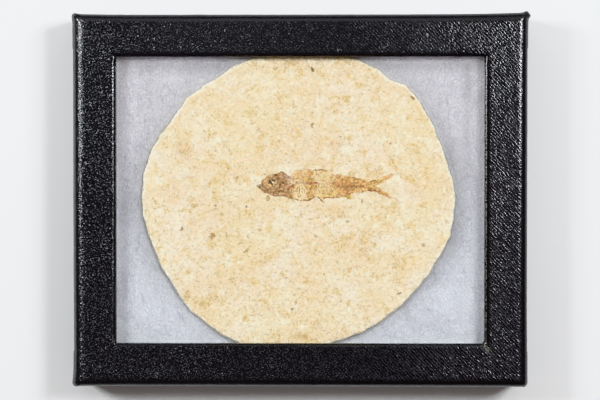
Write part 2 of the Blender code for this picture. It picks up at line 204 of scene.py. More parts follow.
# ============================================================ material helpers
class Nodes:
    """A small wrapper for writing a shader as a few lines."""

    def __init__(self, name):
        self.mat = bpy.data.materials.new(name)
        self.mat.use_nodes = True
        self.tree = self.mat.node_tree
        self.tree.nodes.clear()
        self.out = self.tree.nodes.new("ShaderNodeOutputMaterial")
        self.coord = self.tree.nodes.new("ShaderNodeTexCoord")

    def link(self, a, b):
        self.tree.links.new(a, b)

    def node(self, kind, **inputs):
        n = self.tree.nodes.new(kind)
        for key, value in inputs.items():
            self.feed(n.inputs[key.replace("_", " ")], value)
        return n

    def feed(self, socket, value):
        if isinstance(value, bpy.types.NodeSocket):
            self.link(value, socket)
        else:
            socket.default_value = value

    def point(self, scale=(1, 1, 1), turn=(0, 0, 0), move=(0, 0, 0)):
        m = self.tree.nodes.new("ShaderNodeMapping")
        m.inputs["Scale"].default_value = scale
        m.inputs["Rotation"].default_value = turn
        m.inputs["Location"].default_value = move
        self.link(self.coord.outputs["Object"], m.inputs["Vector"])
        return m.outputs["Vector"]

    def unfolded(self, crest):
        """Coordinates that run on down a wall from an edge at height `crest`."""
        x, y, z = self.split()
        drop = self.math("SUBTRACT", crest, z)
        return self.node("ShaderNodeCombineXYZ", X=self.math("ADD", x, drop), Y=y, Z=z).outputs[0]

    def stretched(self, along, turn, move=(0, 0, 0), base=None):
        """Coordinates for marks drawn out `along` times in a direction of the plan."""
        m = self.tree.nodes.new("ShaderNodeMapping")
        m.vector_type = "TEXTURE"
        m.inputs["Scale"].default_value = (along, 1.0, 1.0)
        m.inputs["Rotation"].default_value = (0, 0, math.radians(turn))
        m.inputs["Location"].default_value = move
        self.link(base or self.coord.outputs["Object"], m.inputs["Vector"])
        return m.outputs["Vector"]

    def noise(self, scale, detail=3.0, rough=0.5, vector=None, distort=0.0):
        n = self.tree.nodes.new("ShaderNodeTexNoise")
        n.inputs["Scale"].default_value = scale
        n.inputs["Detail"].default_value = detail
        n.inputs["Roughness"].default_value = rough
        n.inputs["Distortion"].default_value = distort
        self.link(vector or self.coord.outputs["Object"], n.inputs["Vector"])
        return n.outputs["Fac"]

    def cells(self, scale, feature="F1", vector=None, randomness=1.0, smoothness=0.5,
              out="Distance"):
        n = self.tree.nodes.new("ShaderNodeTexVoronoi")
        n.feature = feature
        n.inputs["Scale"].default_value = scale
        n.inputs["Randomness"].default_value = randomness
        if feature == "SMOOTH_F1":
            n.inputs["Smoothness"].default_value = smoothness
        self.link(vector or self.coord.outputs["Object"], n.inputs["Vector"])
        return n.outputs[out]

    def wave(self, scale, vector, distortion=0.0, detail=2.0, detail_scale=1.0):
        n = self.tree.nodes.new("ShaderNodeTexWave")
        n.wave_type = "BANDS"
        n.bands_direction = "Y"
        n.wave_profile = "SIN"
        for key, v in (("Scale", scale), ("Distortion", distortion), ("Detail", detail),
                       ("Detail Scale", detail_scale), ("Detail Roughness", 0.5)):
            n.inputs[key].default_value = v
        self.link(vector, n.inputs["Vector"])
        return n.outputs["Fac"]

    def math(self, op, a, b=None, c=None, clamp=False):
        n = self.tree.nodes.new("ShaderNodeMath")
        n.operation = op
        n.use_clamp = clamp
        for socket, value in zip(n.inputs, (a, b, c)):
            if value is not None:
                self.feed(socket, value)
        return n.outputs[0]

    def remap(self, value, a, b, c=0.0, d=1.0, kind="SMOOTHSTEP"):
        n = self.tree.nodes.new("ShaderNodeMapRange")
        n.interpolation_type = kind
        n.clamp = True
        for key, v in (("Value", value), ("From Min", a), ("From Max", b),
                       ("To Min", c), ("To Max", d)):
            self.feed(n.inputs[key], v)
        return n.outputs["Result"]

    def mix(self, fac, a, b, mode="MIX"):
        n = self.tree.nodes.new("ShaderNodeMix")
        n.data_type = "RGBA"
        n.blend_type = mode
        n.clamp_factor = True
        self.feed(n.inputs[0], fac)
        for socket, value in ((n.inputs[6], a), (n.inputs[7], b)):
            if isinstance(value, (tuple, list)) and len(value) == 3:
                value = (*value, 1.0)
            self.feed(socket, value)
        return n.outputs[2]

    def ramp(self, value, stops):
        n = self.tree.nodes.new("ShaderNodeValToRGB")
        ramp = n.color_ramp
        while len(ramp.elements) < len(stops):
            ramp.elements.new(0.5)
        for e, (at, colour) in zip(ramp.elements, stops):
            e.position = at
            e.color = (*colour, 1.0)
        self.feed(n.inputs["Fac"], value)
        return n.outputs["Color"]

    def attr(self, name, out="Fac"):
        n = self.tree.nodes.new("ShaderNodeAttribute")
        n.attribute_name = name
        return n.outputs[out]

    def split(self, vector=None):
        n = self.tree.nodes.new("ShaderNodeSeparateXYZ")
        self.link(vector or self.coord.outputs["Object"], n.inputs[0])
        return n.outputs

    def bump(self, height, distance, strength=1.0, normal=None):
        n = self.tree.nodes.new("ShaderNodeBump")
        n.inputs["Distance"].default_value = distance
        n.inputs["Strength"].default_value = strength
        self.feed(n.inputs["Height"], height)
        if normal is not None:
            self.link(normal, n.inputs["Normal"])
        return n.outputs["Normal"]

    def principled(self, **inputs):
        n = self.tree.nodes.new("ShaderNodeBsdfPrincipled")
        for key, value in inputs.items():
            self.feed(n.inputs[key.replace("_", " ")], value)
        return n

    def surface(self, socket):
        self.link(socket, self.out.inputs["Surface"])
        return self.mat


LEATHER_BUMP = 0.00010  # height of the grain, in metres, per unit of the pattern
STONE_GAIN = 0.88      # how much of a seen colour is the surface's own


# ---- black leatherette: embossed, coated paper with a fine pebbled grain that
# turns into slanting creases towards the right
def leatherette(name, wear_and_highlight=True):
    g = Nodes(name)
    x, y, z = g.split()
    side = g.remap(x, -0.035, 0.058)
    pebble = g.remap(g.cells(1640.0, "SMOOTH_F1", smoothness=0.15), 0.05, 0.60, 1.0, 0.0)
    worm = g.noise(2900.0, 0.0)
    left = g.math("ADD", g.math("MULTIPLY", pebble, 0.50), g.math("MULTIPLY", worm, 0.95))
    # slanting creases about a millimetre apart, broken up by the same pebbles
    crease = g.wave(350.0, g.stretched(2.0, -46, base=g.unfolded(0.019)), distortion=4.8, detail=1.0, detail_scale=5.0)
    ridge = g.noise(2850.0, 0.0, vector=g.stretched(1.5, -44, (0.3, 0.2, 0)))
    right = g.math("ADD", g.math("MULTIPLY", crease, 0.58), g.math("MULTIPLY", ridge, 0.40))
    right = g.math("ADD", g.math("ADD", right, g.math("MULTIPLY", pebble, 0.33)), -0.64)
    bold = g.math("ADD", g.remap(y, 0.024, 0.056, 0.54, 0.70),
                  g.remap(z, 0.0150, 0.0184, 0.25, 0.0))
    right = g.math("ADD", g.math("MULTIPLY", right, bold), 0.75)
    both = g.node("ShaderNodeMix")
    g.feed(both.inputs[0], side)
    g.feed(both.inputs[2], left)
    g.feed(both.inputs[3], right)
    height = both.outputs[0]
    # the sheet is drawn tight and smooth where it turns over an edge
    tight = g.attr("fold")
    drawn = g.math("MULTIPLY", height, g.remap(tight, 0.0, 1.0, 1.0, 0.55, "LINEAR"))
    # and its grain is flatter along the middle of the far rim and of the right-hand one
    calm = g.math("MULTIPLY", g.remap(g.math("ABSOLUTE", x), 0.042, 0.066, 0.22, 0.0),
                  g.remap(y, 0.020, 0.046))
    calm = g.math("MAXIMUM", calm, g.math("MULTIPLY", g.remap(x, 0.055, 0.062),
                                          g.remap(g.math("ABSOLUTE", y), 0.034, 0.056, 0.13, 0.0)))
    drawn = g.math("MULTIPLY", drawn, g.math("SUBTRACT", 1.0, g.math("MULTIPLY", calm, 0.55)))
    normal = g.bump(drawn, LEATHER_BUMP, 1.0)
    # the tops of the grain are painted grey, partly rubbed coating and partly painted sheen standing in for glints,
    # and the pits stay black
    tone = g.remap(g.noise(60.0, 3.0, 0.6), 0.3, 0.7, 0.85, 1.15, "LINEAR")
    tone = g.math("MULTIPLY", tone, g.remap(y, -0.045, 0.050, 1.14, 0.88, "LINEAR"))
    crown_wear_and_sheen = g.remap(height, g.remap(side, 0.0, 1.0, 0.42, 0.52), g.remap(side, 0.0, 1.0, 1.05, 1.00))
    crown_wear_and_sheen = g.math("MULTIPLY", crown_wear_and_sheen, tone, clamp=True)
    # where the grain is flatter its tops are painted an even grey, a painted sheen in place of the glints
    crown_wear_and_sheen = g.math("ADD", g.math("MULTIPLY", crown_wear_and_sheen, g.math("SUBTRACT", 1.0, calm)),
                   g.math("MULTIPLY", calm, 0.66))
    # darker where the sheet turns over an edge: partly smooth unrubbed paper, partly painted shade along the folds and
    # the window's edges
    crown_wear_and_sheen = g.math("MULTIPLY", crown_wear_and_sheen, g.remap(tight, 0.0, 1.0, 1.0, 0.12, "LINEAR"))
    # both colours are painted darker on the right-hand half, painted shade against the key lamp on that side
    rubbed_and_sheen = g.mix(side, (0.0505, 0.0520, 0.0580), (0.0415, 0.0425, 0.0480))
    colour = g.mix(crown_wear_and_sheen, g.mix(side, (0.0050, 0.0050, 0.0060), (0.0008, 0.0008, 0.0011)), rubbed_and_sheen)
    rough = g.remap(g.noise(900.0, 3.0, 0.6), 0.3, 0.7, 0.16, 0.24)
    if wear_and_highlight:
        # scuffs, and the painted highlight along the window's right-hand edge, lighten the coat here
        worn_and_highlit = g.attr("wear_and_highlight")
        crumb = g.remap(g.noise(1500.0, 3.0, 0.7), 0.42, 0.62)
        worn_and_highlit = g.math("MULTIPLY", worn_and_highlit, crumb, clamp=True)
        colour = g.mix(worn_and_highlit, colour, (0.150, 0.154, 0.134))
        rough = g.math("ADD", rough, g.math("MULTIPLY", worn_and_highlit, 0.35))
    bsdf = g.principled(Base_Color=colour, Roughness=rough, Normal=normal)
    bsdf.inputs["Specular IOR Level"].default_value = 0.66
    bsdf.inputs["Specular Tint"].default_value = (0.95, 0.97, 1.0, 1.0)
    bsdf.inputs["IOR"].default_value = 1.5
    return g.surface(bsdf.outputs[0])


def greyboard():
    g = Nodes("greyboard_material")
    fleck = g.noise(1600.0, 4.0, 0.7)
    fibre = g.noise(700.0, 3.0, 0.6, vector=g.stretched(4.0, 25))
    colour = g.mix(g.remap(fleck, 0.3, 0.7), (0.235, 0.215, 0.185), (0.36, 0.335, 0.295))
    colour = g.mix(g.remap(fibre, 0.55, 0.7, 0, 0.5), colour, (0.16, 0.145, 0.12))
    bsdf = g.principled(Base_Color=colour, Roughness=g.remap(fleck, 0.3, 0.7, 0.85, 0.97),
                        Normal=g.bump(g.math("ADD", fleck, fibre), 0.00006, 0.7))
    bsdf.inputs["Specular IOR Level"].default_value = 0.25
    return g.surface(bsdf.outputs[0])


def gummed_tape():
    g = Nodes("gummed_tape_material")
    fibre = g.noise(900.0, 4.0, 0.65, vector=g.stretched(3.0, 15))
    wrinkle = g.noise(160.0, 2.0, 0.5)
    colour = g.mix(g.remap(fibre, 0.3, 0.7), (0.020, 0.019, 0.018), (0.045, 0.043, 0.040))
    bsdf = g.principled(Base_Color=colour, Roughness=g.remap(fibre, 0.3, 0.7, 0.6, 0.8),
                        Normal=g.bump(g.math("ADD", fibre, wrinkle), 0.00008, 0.6))
    bsdf.inputs["Specular IOR Level"].default_value = 0.4
    return g.surface(bsdf.outputs[0])


def clear_glass():
    g = Nodes("window_glass_material")
    smear = g.noise(45.0, 4.0, 0.6, vector=g.stretched(3.0, 60))
    dust = g.cells(420.0, "F1")
    rough = g.math("ADD", g.remap(smear, 0.45, 0.75, 0.0, 0.010),
                   g.remap(dust, 0.02, 0.06, 0.10, 0.0))
    glass = g.principled(Base_Color=(0.985, 0.995, 0.99, 1.0), Roughness=rough)
    glass.inputs["Transmission Weight"].default_value = 1.0
    glass.inputs["IOR"].default_value = 1.5
    through = g.node("ShaderNodeBsdfTransparent", Color=(0.93, 0.945, 0.94, 1.0))
    path = g.tree.nodes.new("ShaderNodeLightPath")
    shadow = g.math("MAXIMUM", path.outputs["Is Shadow Ray"], path.outputs["Is Diffuse Ray"])
    mixed = g.tree.nodes.new("ShaderNodeMixShader")
    g.link(shadow, mixed.inputs[0])
    g.link(glass.outputs[0], mixed.inputs[1])
    g.link(through.outputs[0], mixed.inputs[2])
    return g.surface(mixed.outputs[0])


def polyester(name, gain=1.0, deep=True, with_painted_light_shade=False):
    g = Nodes(name)
    clump = g.noise(150.0, 4.0, 0.55)
    hair = g.noise(2500.0, 1.0, 0.5, vector=g.stretched(1.6, 80))
    hair2 = g.noise(2300.0, 1.0, 0.5, vector=g.stretched(1.3, 140, (0.2, 0.1, 0)))
    web = g.math("ADD", hair, hair2)
    pale = tuple(min(1.0, gain * c) for c in (0.705, 0.698, 0.768))
    shade = tuple(gain * c for c in (0.678, 0.671, 0.742))
    colour = g.mix(g.remap(clump, 0.32, 0.68), shade, pale)
    colour = g.mix(g.remap(web, 0.72, 1.10, 0.50, 0.0, "LINEAR"), colour,
                   tuple(gain * c for c in (0.52, 0.51, 0.60)))
    colour = g.mix(g.remap(web, 0.98, 1.28, 0.0, 0.55), colour,
                   tuple(min(1.0, gain * c) for c in (0.88, 0.87, 0.94)))
    # a trace warmer and darker at the back, and lighter at the front
    colour = g.mix(1.0, colour, g.mix(g.remap(g.split()[1], -0.030, 0.040),
                                      (1.030, 1.040, 1.028), (1.0, 0.972, 0.945)), "MULTIPLY")
    # painted shade and light as a colour factor: painted shade beside the stone, painted light at the window's edges
    if with_painted_light_shade:
        painted_light_shade = g.attr("painted_light_shade")
        colour = g.mix(1.0, colour, g.node("ShaderNodeCombineXYZ", X=painted_light_shade, Y=painted_light_shade, Z=painted_light_shade).outputs[0],
                       "MULTIPLY")
    bsdf = g.principled(Base_Color=colour, Roughness=0.95,
                        Normal=g.bump(web, 0.00009, 0.6))
    bsdf.inputs["Specular IOR Level"].default_value = 0.2
    if deep:
        bsdf.inputs["Subsurface Weight"].default_value = 0.92
        bsdf.inputs["Subsurface Radius"].default_value = (1.0, 1.0, 1.05)
        bsdf.inputs["Subsurface Scale"].default_value = 0.0070
    return g.surface(bsdf.outputs[0])


def limestone():
    g = Nodes("buff_limestone_material")
    k = STONE_GAIN
    cream = lin(248, 233, 210, k)
    buff = lin(242, 218, 184, k)
    tan = lin(225, 195, 143, k)
    ochre = lin(216, 181, 127, k)
    rose = lin(237, 211, 167, k)
    dark = lin(104, 70, 28, k)
    broad = g.noise(80.0, 4.0, 0.55, distort=0.3)
    middle = g.noise(300.0, 4.0, 0.62, distort=0.3)
    fine = g.noise(1000.0, 3.0, 0.62)
    grain = g.noise(1900.0, 2.0, 0.65)
    colour = g.mix(g.remap(broad, 0.36, 0.62), cream, buff)
    # rosier and yellower by turns, over a centimetre or so
    turn = g.noise(55.0, 3.0, 0.6, vector=g.point(move=(0.9, 0.2, -0.4)), distort=0.4)
    colour = g.mix(1.0, colour, g.mix(g.remap(turn, 0.38, 0.62), (1.004, 0.999, 1.030),
                                      (0.998, 1.001, 0.950)), "MULTIPLY")
    colour = g.mix(g.remap(middle, 0.47, 0.68, 0.0, 0.75), colour, rose)
    blot = g.noise(190.0, 5.0, 0.66, vector=g.point(move=(0.3, 0.1, 0.0)), distort=0.4)
    colour = g.mix(g.remap(blot, 0.54, 0.655, 0.0, 0.88), colour, tan)
    pale = g.noise(220.0, 4.0, 0.6, vector=g.point(move=(-0.2, 0.4, 0.1)))
    colour = g.mix(g.remap(pale, 0.54, 0.70, 0.0, 0.85), colour, lin(249, 240, 217, k))
    # sand-like grain: small tan and ochre specks, more of them in patches
    patch = g.remap(g.noise(120.0, 3.0, 0.55, vector=g.point(move=(0.6, -0.3, 0.0))),
                    0.35, 0.65, 0.25, 1.0)
    speck = g.remap(fine, 0.50, 0.66)
    colour = g.mix(g.math("MULTIPLY", speck, g.math("MULTIPLY", patch, 0.42)), colour, ochre)
    colour = g.mix(g.remap(fine, 0.30, 0.44, 0.50, 0.0), colour, lin(252, 246, 232, k))
    fleck = g.noise(1300.0, 2.0, 0.55, vector=g.point(move=(0.05, 0.42, 0.1)))
    fleck = g.remap(g.math("ADD", fleck, g.math("MULTIPLY", patch, 0.05)), 0.685, 0.745)
    colour = g.mix(g.math("MULTIPLY", fleck, 0.22), colour, lin(164, 126, 84, k))
    # small mottled patches of a sandier bed, thickest in drifts
    drift = g.noise(430.0, 4.0, 0.70, vector=g.point(move=(0.15, -0.25, 0.3)), distort=0.25)
    drift = g.math("MULTIPLY", g.remap(drift, 0.52, 0.66), g.remap(blot, 0.42, 0.60, 0.35, 0.95))
    colour = g.mix(drift, colour, lin(218, 187, 136, k))
    stain = g.attr("spot")
    colour = g.mix(stain, colour, g.mix(g.attr("spot_dark"), lin(192, 150, 86, k), dark))
    fossil = g.attr("fossil", "Color")
    colour = g.mix(g.attr("cover"), colour, fossil)
    # the broken rim and sides are paler: partly fresh stone, partly painted light against the shade of the chipped
    # edge
    edge = g.attr("broken_and_painted_light")
    colour = g.mix(g.math("MULTIPLY", edge, 0.88), colour,
                   g.mix(g.remap(middle, 0.4, 0.6), lin(252, 245, 230, k), lin(240, 226, 198, k)))
    light = g.math("MULTIPLY", g.remap(grain, 0.25, 0.75, 0.55, 1.39, "LINEAR"),
                   g.remap(fine, 0.30, 0.70, 1.12, 0.88, "LINEAR"))
    every = g.node("ShaderNodeCombineXYZ", X=light, Y=light, Z=light).outputs[0]
    colour = g.mix(1.0, colour, every, "MULTIPLY")
    # bone and stain are browner and paler by turns, in crumbs under a millimetre
    crumb = g.noise(1150.0, 2.0, 0.6, vector=g.point(move=(0.4, 0.4, 0.2)))
    burnt = g.mix(g.remap(crumb, 0.28, 0.72, 0.0, 1.0, "LINEAR"), (0.41, 0.350, 0.300), (1.47, 1.57, 1.68))
    darker = g.remap(g.split(fossil)[2], 0.08, 0.36, 1.0, 0.28, "LINEAR")
    colour = g.mix(1.0, colour, g.mix(g.math("MULTIPLY", g.attr("cover"), darker), (1.0, 1.0, 1.0), burnt),
                   "MULTIPLY")
    rough = g.remap(fine, 0.3, 0.7, 0.72, 0.92)
    rough = g.math("SUBTRACT", rough, g.math("MULTIPLY", g.attr("cover"), 0.18))
    height = g.math("ADD", g.math("MULTIPLY", fine, 0.6), grain)
    bsdf = g.principled(Base_Color=colour, Roughness=rough,
                        Normal=g.bump(height, 0.00010, 0.8))
    bsdf.inputs["Specular IOR Level"].default_value = 0.35
    return g.surface(bsdf.outputs[0])


def pin_steel():
    g = Nodes("pin_steel_material")
    draw = g.noise(3000.0, 2.0, 0.5, vector=g.stretched(20.0, 0))
    tarnish = g.noise(700.0, 3.0, 0.6)
    colour = g.mix(g.remap(tarnish, 0.45, 0.7), (0.63, 0.62, 0.59), (0.42, 0.39, 0.33))
    bsdf = g.principled(Base_Color=colour, Roughness=g.remap(draw, 0.3, 0.7, 0.18, 0.34),
                        Normal=g.bump(draw, 0.00001, 0.5))
    bsdf.inputs["Metallic"].default_value = 1.0
    return g.surface(bsdf.outputs[0])


LEATHER = leatherette("leatherette_lid_material")
LEATHER_TRAY = leatherette("leatherette_tray_material", wear_and_highlight=False)


# ============================================================ lid covering
NX, NY, NC = 284, 232, 12


def lid_rings():
    """The sheet's section from the hem inside the skirt, out, up, over the rim,
    down the window's edge and in under the rim, then back along its hidden side."""
    rings, zone = [], []

    def add(hx, hy, z, r, tag):
        r = (r, r, r, r) if not isinstance(r, tuple) else r
        rings.append(rounded_loop(hx, hy, r, z, NX, NY, NC))
        zone.append(tag)

    for z in (6.5, 4.5, 2.5, 1.0):
        add(SKIRT_X, SKIRT_Y, z, 0.5, "hem")
    add(SKIRT_X + 0.14, SKIRT_Y + 0.14, 0.64, 0.6, "hem")
    add(SKIRT_X + 0.5, SKIRT_Y + 0.5, HEM, 0.8, "hem")
    add(OX - 0.9, OY - 0.9, HEM, 1.0, "hem")
    add(OX - 0.4, OY - 0.4, HEM + 0.06, 1.2, "hem")
    add(OX - 0.1, OY - 0.1, HEM + 0.24, 1.4, "wall")
    for z in np.linspace(1.1, TOP - ROLL, 11):
        add(OX, OY, z, CORNER, "wall")
    for k in range(1, 13):
        turn = math.radians(90 * k / 12)
        inset = ROLL * (1 - math.cos(turn))
        add(OX - inset, OY - inset, TOP - ROLL + ROLL * math.sin(turn),
            max(0.60, CORNER - 0.7 * inset), "round")
    for k in range(1, 25):
        t = k / 24
        hx = (OX - ROLL) * (1 - t) + (WX + ARRIS) * t
        hy = (OY - ROLL) * (1 - t) + (WY + ARRIS) * t
        r = 0.60
        add(hx, hy, TOP, (r, r, r, r + 0.8 * t ** 3), "top")
    for k in range(1, 8):
        turn = math.radians(90 - 90 * k / 7)
        out = ARRIS * (1.0 - math.cos(turn))
        r = 0.60 - 0.15 * math.cos(turn)
        add(WX + out, WY + out, TOP - ARRIS + ARRIS * math.sin(turn), (r, r, r, r + 0.8),
            "window")
    r = 0.45
    add(WX, WY, 17.3, (r, r, r, r + 0.8), "window")
    add(WX, WY, TURN_Z, (r, r, r, r + 0.8), "turn")
    add(WX + 3.0, WY + 3.0, TURN_Z, 0.6, "turn")
    add(TURN_X, TURN_Y, TURN_Z, 0.6, "turn")
    t = 0.25
    add(TURN_X, TURN_Y, TURN_Z + t, 0.6, "in")
    add(WX + t, WY + t, TURN_Z + t, 0.6, "in")
    add(WX + t, WY + t, 18.0, 0.6, "in")
    add(WX + 0.4, WY + 0.4, TOP - 0.5, 0.6, "in")
    add(WX + 1.1, WY + 1.1, TOP - t, 0.6, "in")
    add(OX - ROLL - 5.0, OY - ROLL - 5.0, TOP - t, 0.6, "in")
    for k in range(5):
        turn = math.radians(90 - 90 * k / 4)
        inset = ROLL - (ROLL - t) * math.cos(turn)
        add(OX - inset, OY - inset, TOP - ROLL + (ROLL - t) * math.sin(turn),
            max(0.5, CORNER - t - 0.7 * inset), "in")
    add(OX - t, OY - t, 8.0, CORNER - t, "in")
    add(OX - t, OY - t, HEM + t, CORNER - t, "in")
    add(SKIRT_X + t, SKIRT_Y + t, HEM + t, 0.6, "in")
    add(SKIRT_X + t, SKIRT_Y + t, 6.5, 0.6, "in")
    return np.array(rings), zone


def lid_wrap():
    P, zone = lid_rings()
    rows, cols = P.shape[:2]
    outer = np.array([z in ("wall", "round", "top", "window", "hem") for z in zone], float)
    N = loft_normals(P, True)
    flat = P.reshape(-1, 3)
    x, y, z = flat.T
    zones = np.repeat(np.array(zone), cols)

    # the plan of the folded sheet isn't quite square: paper gathers at the corners
    reach = np.minimum(OX - np.abs(x), OY - np.abs(y))          # inward from the edge
    hold = 1 - smooth(0.5, 11.0, reach)
    hold = np.where((zones == "turn") | (zones == "in"), 0.35 * hold, hold)
    low = smooth(0.5, 9.0, z)
    side_y = np.clip((np.abs(y) - (OY - 14)) / 14, 0, 1) ** 2     # share of the long sides
    back = -0.16 + 0.36 * np.exp(-(x + OX) / 7) + 0.70 * np.exp(-(OX - x) / 13)
    front = -0.02 + 0.10 * np.exp(-(OX - x) / 20) + 0.16 * np.exp(-(x + OX) / 6)
    left = 0.32 + 0.12 * np.exp(-(OY - y) / 6) - 0.16 * smooth(-8, -50, y) \
        + 0.30 * np.exp(-(y + OY) / 4)
    right = 0.49 + 0.20 * np.exp(-(OY - y) / 7) + 0.12 * smooth(-30, -55, y)
    dy = np.where(y > 0, back, -front) * smooth(OY - 16, OY - 1, np.abs(y))
    dx = np.where(x > 0, right, -left) * smooth(OX - 16, OX - 1, np.abs(x))
    flat = flat + np.column_stack([dx, dy, 0 * dx]) * (hold * (0.4 + 0.6 * low))[:, None]
    # the window was cut a little to the right and to the back of the middle
    lip = smooth(10.0, 13.6, reach) * (z > TURN_Z - 0.1)
    slip_x = (0.33 + 0.07 * smooth(18.0, 16.6, z)) * (x < 0) * smooth(-WX + 6.0, -WX + 1.0, x)
    slip_y = 0.20 * (y < 0) * smooth(-WY + 6.0, -WY + 1.0, y)
    flat = flat + np.column_stack([slip_x * lip, slip_y * lip, 0 * lip])

    # the paper turns over the window's edge tightly at the right, where it then
    # slopes a little, and more fully at the left
    past = np.abs(x) - WX
    tight = np.interp(past, (0.0, 0.1, 0.24, 0.40, 0.60, 0.82, 1.05, 1.3, 1.7),
                      (0.20, 0.20, 0.094, 0.014, -0.012, -0.014, -0.018, -0.010, 0.0))
    full = np.interp(past, (0.0, 0.1, 0.3, 0.6, 0.8, 1.05, 1.4),
                     (-0.24, -0.24, -0.20, -0.145, -0.10, -0.045, 0.0))
    fold = np.where(x > 0, tight, full) * (past > -0.5) * smooth(17.4, 17.95, z) \
        * (1 - smooth(WY - 2.5, WY - 0.2, np.abs(y))) * ((zones == "window") | (zones == "top"))
    flat = flat + np.column_stack([0 * fold, 0 * fold, fold])

    # folded ears: a stiff fold with two points at the back right corner, a small
    # round one at the back left, a soft one at the front left
    def ear(cx, cy, shape, z0, z1):
        vx, vy = x - cx, y - cy
        near = np.exp(-(vx ** 2 + vy ** 2) / shape[2] ** 2) * smooth(z0, z1, z) \
            * (zones != "in") * (zones != "turn")
        return np.column_stack([shape[0] * near, shape[1] * near, 0 * near])

    flat = flat + ear(-OX + 0.4, OY - 0.7, (-0.34, 0.26, 1.6), 4.0, 12.0) \
        + ear(-OX + 0.3, -OY + 0.9, (-0.26, -0.12, 1.9), 4.0, 12.0)
    vx, vy = x - (OX - CORNER), y - (OY - CORNER)
    turn = np.degrees(np.arctan2(vy, vx))
    far = np.hypot(vx, vy)
    extra = np.interp(turn, (-70, -25, -6, 8, 30, 52, 72, 98, 125, 165),
                      (0.0, 0.06, 0.46, 0.80, 0.62, 0.66, 0.30, 0.04, 0.01, 0.0))
    extra = extra * smooth(CORNER * 0.45, CORNER * 0.95, far) * np.exp(-np.clip(far - 3.0, 0, 99) / 1.2) \
        * smooth(5.0, 12.0, z) * (1 - 0.75 * smooth(15.9, 18.6, z)) \
        * (zones != "in") * (zones != "turn") * (zones != "top") * (x > 0) * (y > 0)
    flat = flat + np.column_stack([vx / np.maximum(far, 0.01) * extra,
                                   vy / np.maximum(far, 0.01) * extra, 0 * extra])

    # the fold of paper round each end of the short walls, with its slanting edge
    wall = (zones == "wall") | (zones == "round")
    lap_edge = OY - 10.5 - 0.22 * (z - 9.0)
    lap = smooth(-0.35, 0.35, np.abs(y) - lap_edge) * (np.abs(x) > OX - 1.2) * wall \
        * (1 - smooth(15.4, 17.6, z))
    flat = flat + N.reshape(-1, 3) * (0.20 * lap)[:, None]
    crease = np.exp(-((np.abs(y) - lap_edge) / 0.45) ** 2) * (np.abs(x) > OX - 1.2) * wall
    flat = flat - N.reshape(-1, 3) * (0.05 * crease * (1 - smooth(15.4, 17.6, z)))[:, None]

    # slow unevenness of paper over board, and the broader swells of its grain
    live = np.repeat(outer, cols)
    slow = 0.09 * fbm(flat, 0.06, 3, 5) + 0.035 * fbm(flat, 0.20, 2, 9)
    swell = 0.016 * noise(flat, 0.55, 21) + 0.010 * noise(flat, 0.95, 41)
    h = live * (slow * np.where(zones == "top", 1.0, 0.35)
                + swell * np.where(zones == "hem", 0.3, 1.0))
    # the rim's top is drawn slightly down between its two rolled edges
    t = np.clip((reach - 2.5) / 11.0, 0, 1)
    h = h - (zones == "top") * 0.05 * np.sin(math.pi * t)
    # and its left shoulder is fuller, falling away sooner
    shoulder = smooth(4.3, 1.6, reach) * (x < 0) * (OX - np.abs(x) < OY - np.abs(y) + 1.0)
    h = h - ((zones == "top") | (zones == "round")) * 0.30 * shoulder * smooth(14.0, 17.5, z)
    flat = flat + N.reshape(-1, 3) * h[:, None]

    obj = build_mesh("lid_wrap", flat, [grid_quads(rows, cols, True, True)])
    # scuffed corner of the window, at the front right
    sx, sy = flat[:, 0] - 62.7, flat[:, 1] + 49.2
    along = np.clip((sx * 0.68 - sy * 0.73) / 3.4, 0, 1)
    off = np.hypot(sx - 0.68 * 3.4 * along, sy + 0.73 * 3.4 * along)
    wear_and_highlight = (1 - smooth(0.3, 1.55 - 0.45 * along, off)) * (0.78 - 0.36 * along) \
        * smooth(17.9, 18.7, flat[:, 2])
    for cx, cy, r, s in ((OX - 0.4, OY - 1.6, 1.3, 0.10), (-OX + 0.5, OY - 0.8, 1.2, 0.10),
                         (OX - 0.6, -OY + 0.6, 1.5, 0.12), (-OX + 0.6, -OY + 0.6, 1.5, 0.10)):
        wear_and_highlight = np.maximum(wear_and_highlight, s * np.exp(-((x - cx) ** 2 + (y - cy) ** 2) / r ** 2))
    # and its right-hand edge is rubbed grey all along
    # and a painted highlight runs all along its right-hand edge: a pale line where the fold would catch the light
    over = flat[:, 0] - WX
    rubbed_and_sheen = smooth(0.16, 0.30, over) * (1 - smooth(0.62, 0.86, over)) * (np.abs(y) < WY - 0.3) \
        * (x > 0) * smooth(18.3, 18.6, flat[:, 2])
    wear_and_highlight = np.maximum(wear_and_highlight, 0.60 * rubbed_and_sheen)
    # real scuffs and the painted highlight share this one mask
    attribute(obj, "wear_and_highlight", wear_and_highlight * live)
    # where the sheet turns over an edge, starting a little inward of the rounding; the shader paints these bands
    # darker, partly smooth paper and partly painted shade, with painted dark lines beside the window's edges
    at_edge = (1 - smooth(1.5, 3.2, reach)) * smooth(12.5, 16.5, z)
    past_x, past_y = np.abs(x) - WX, np.abs(y) - WY
    at_side = np.where(x > 0, smooth(0.66, 1.0, past_x) * (1 - smooth(1.15, 1.75, past_x)),
                       1 - smooth(0.45, 0.75, past_x))
    at_window = np.maximum(at_side * (past_y < 1.0),
                           (1 - smooth(0.35, np.where(y > 0, 2.3, 1.1), past_y)) * (past_x < 1.0))
    attribute(obj, "fold", np.maximum(at_edge, at_window) * live)
    return finish_piece(obj, LEATHER, "leatherette", "lid_cover")


lid_wrap()


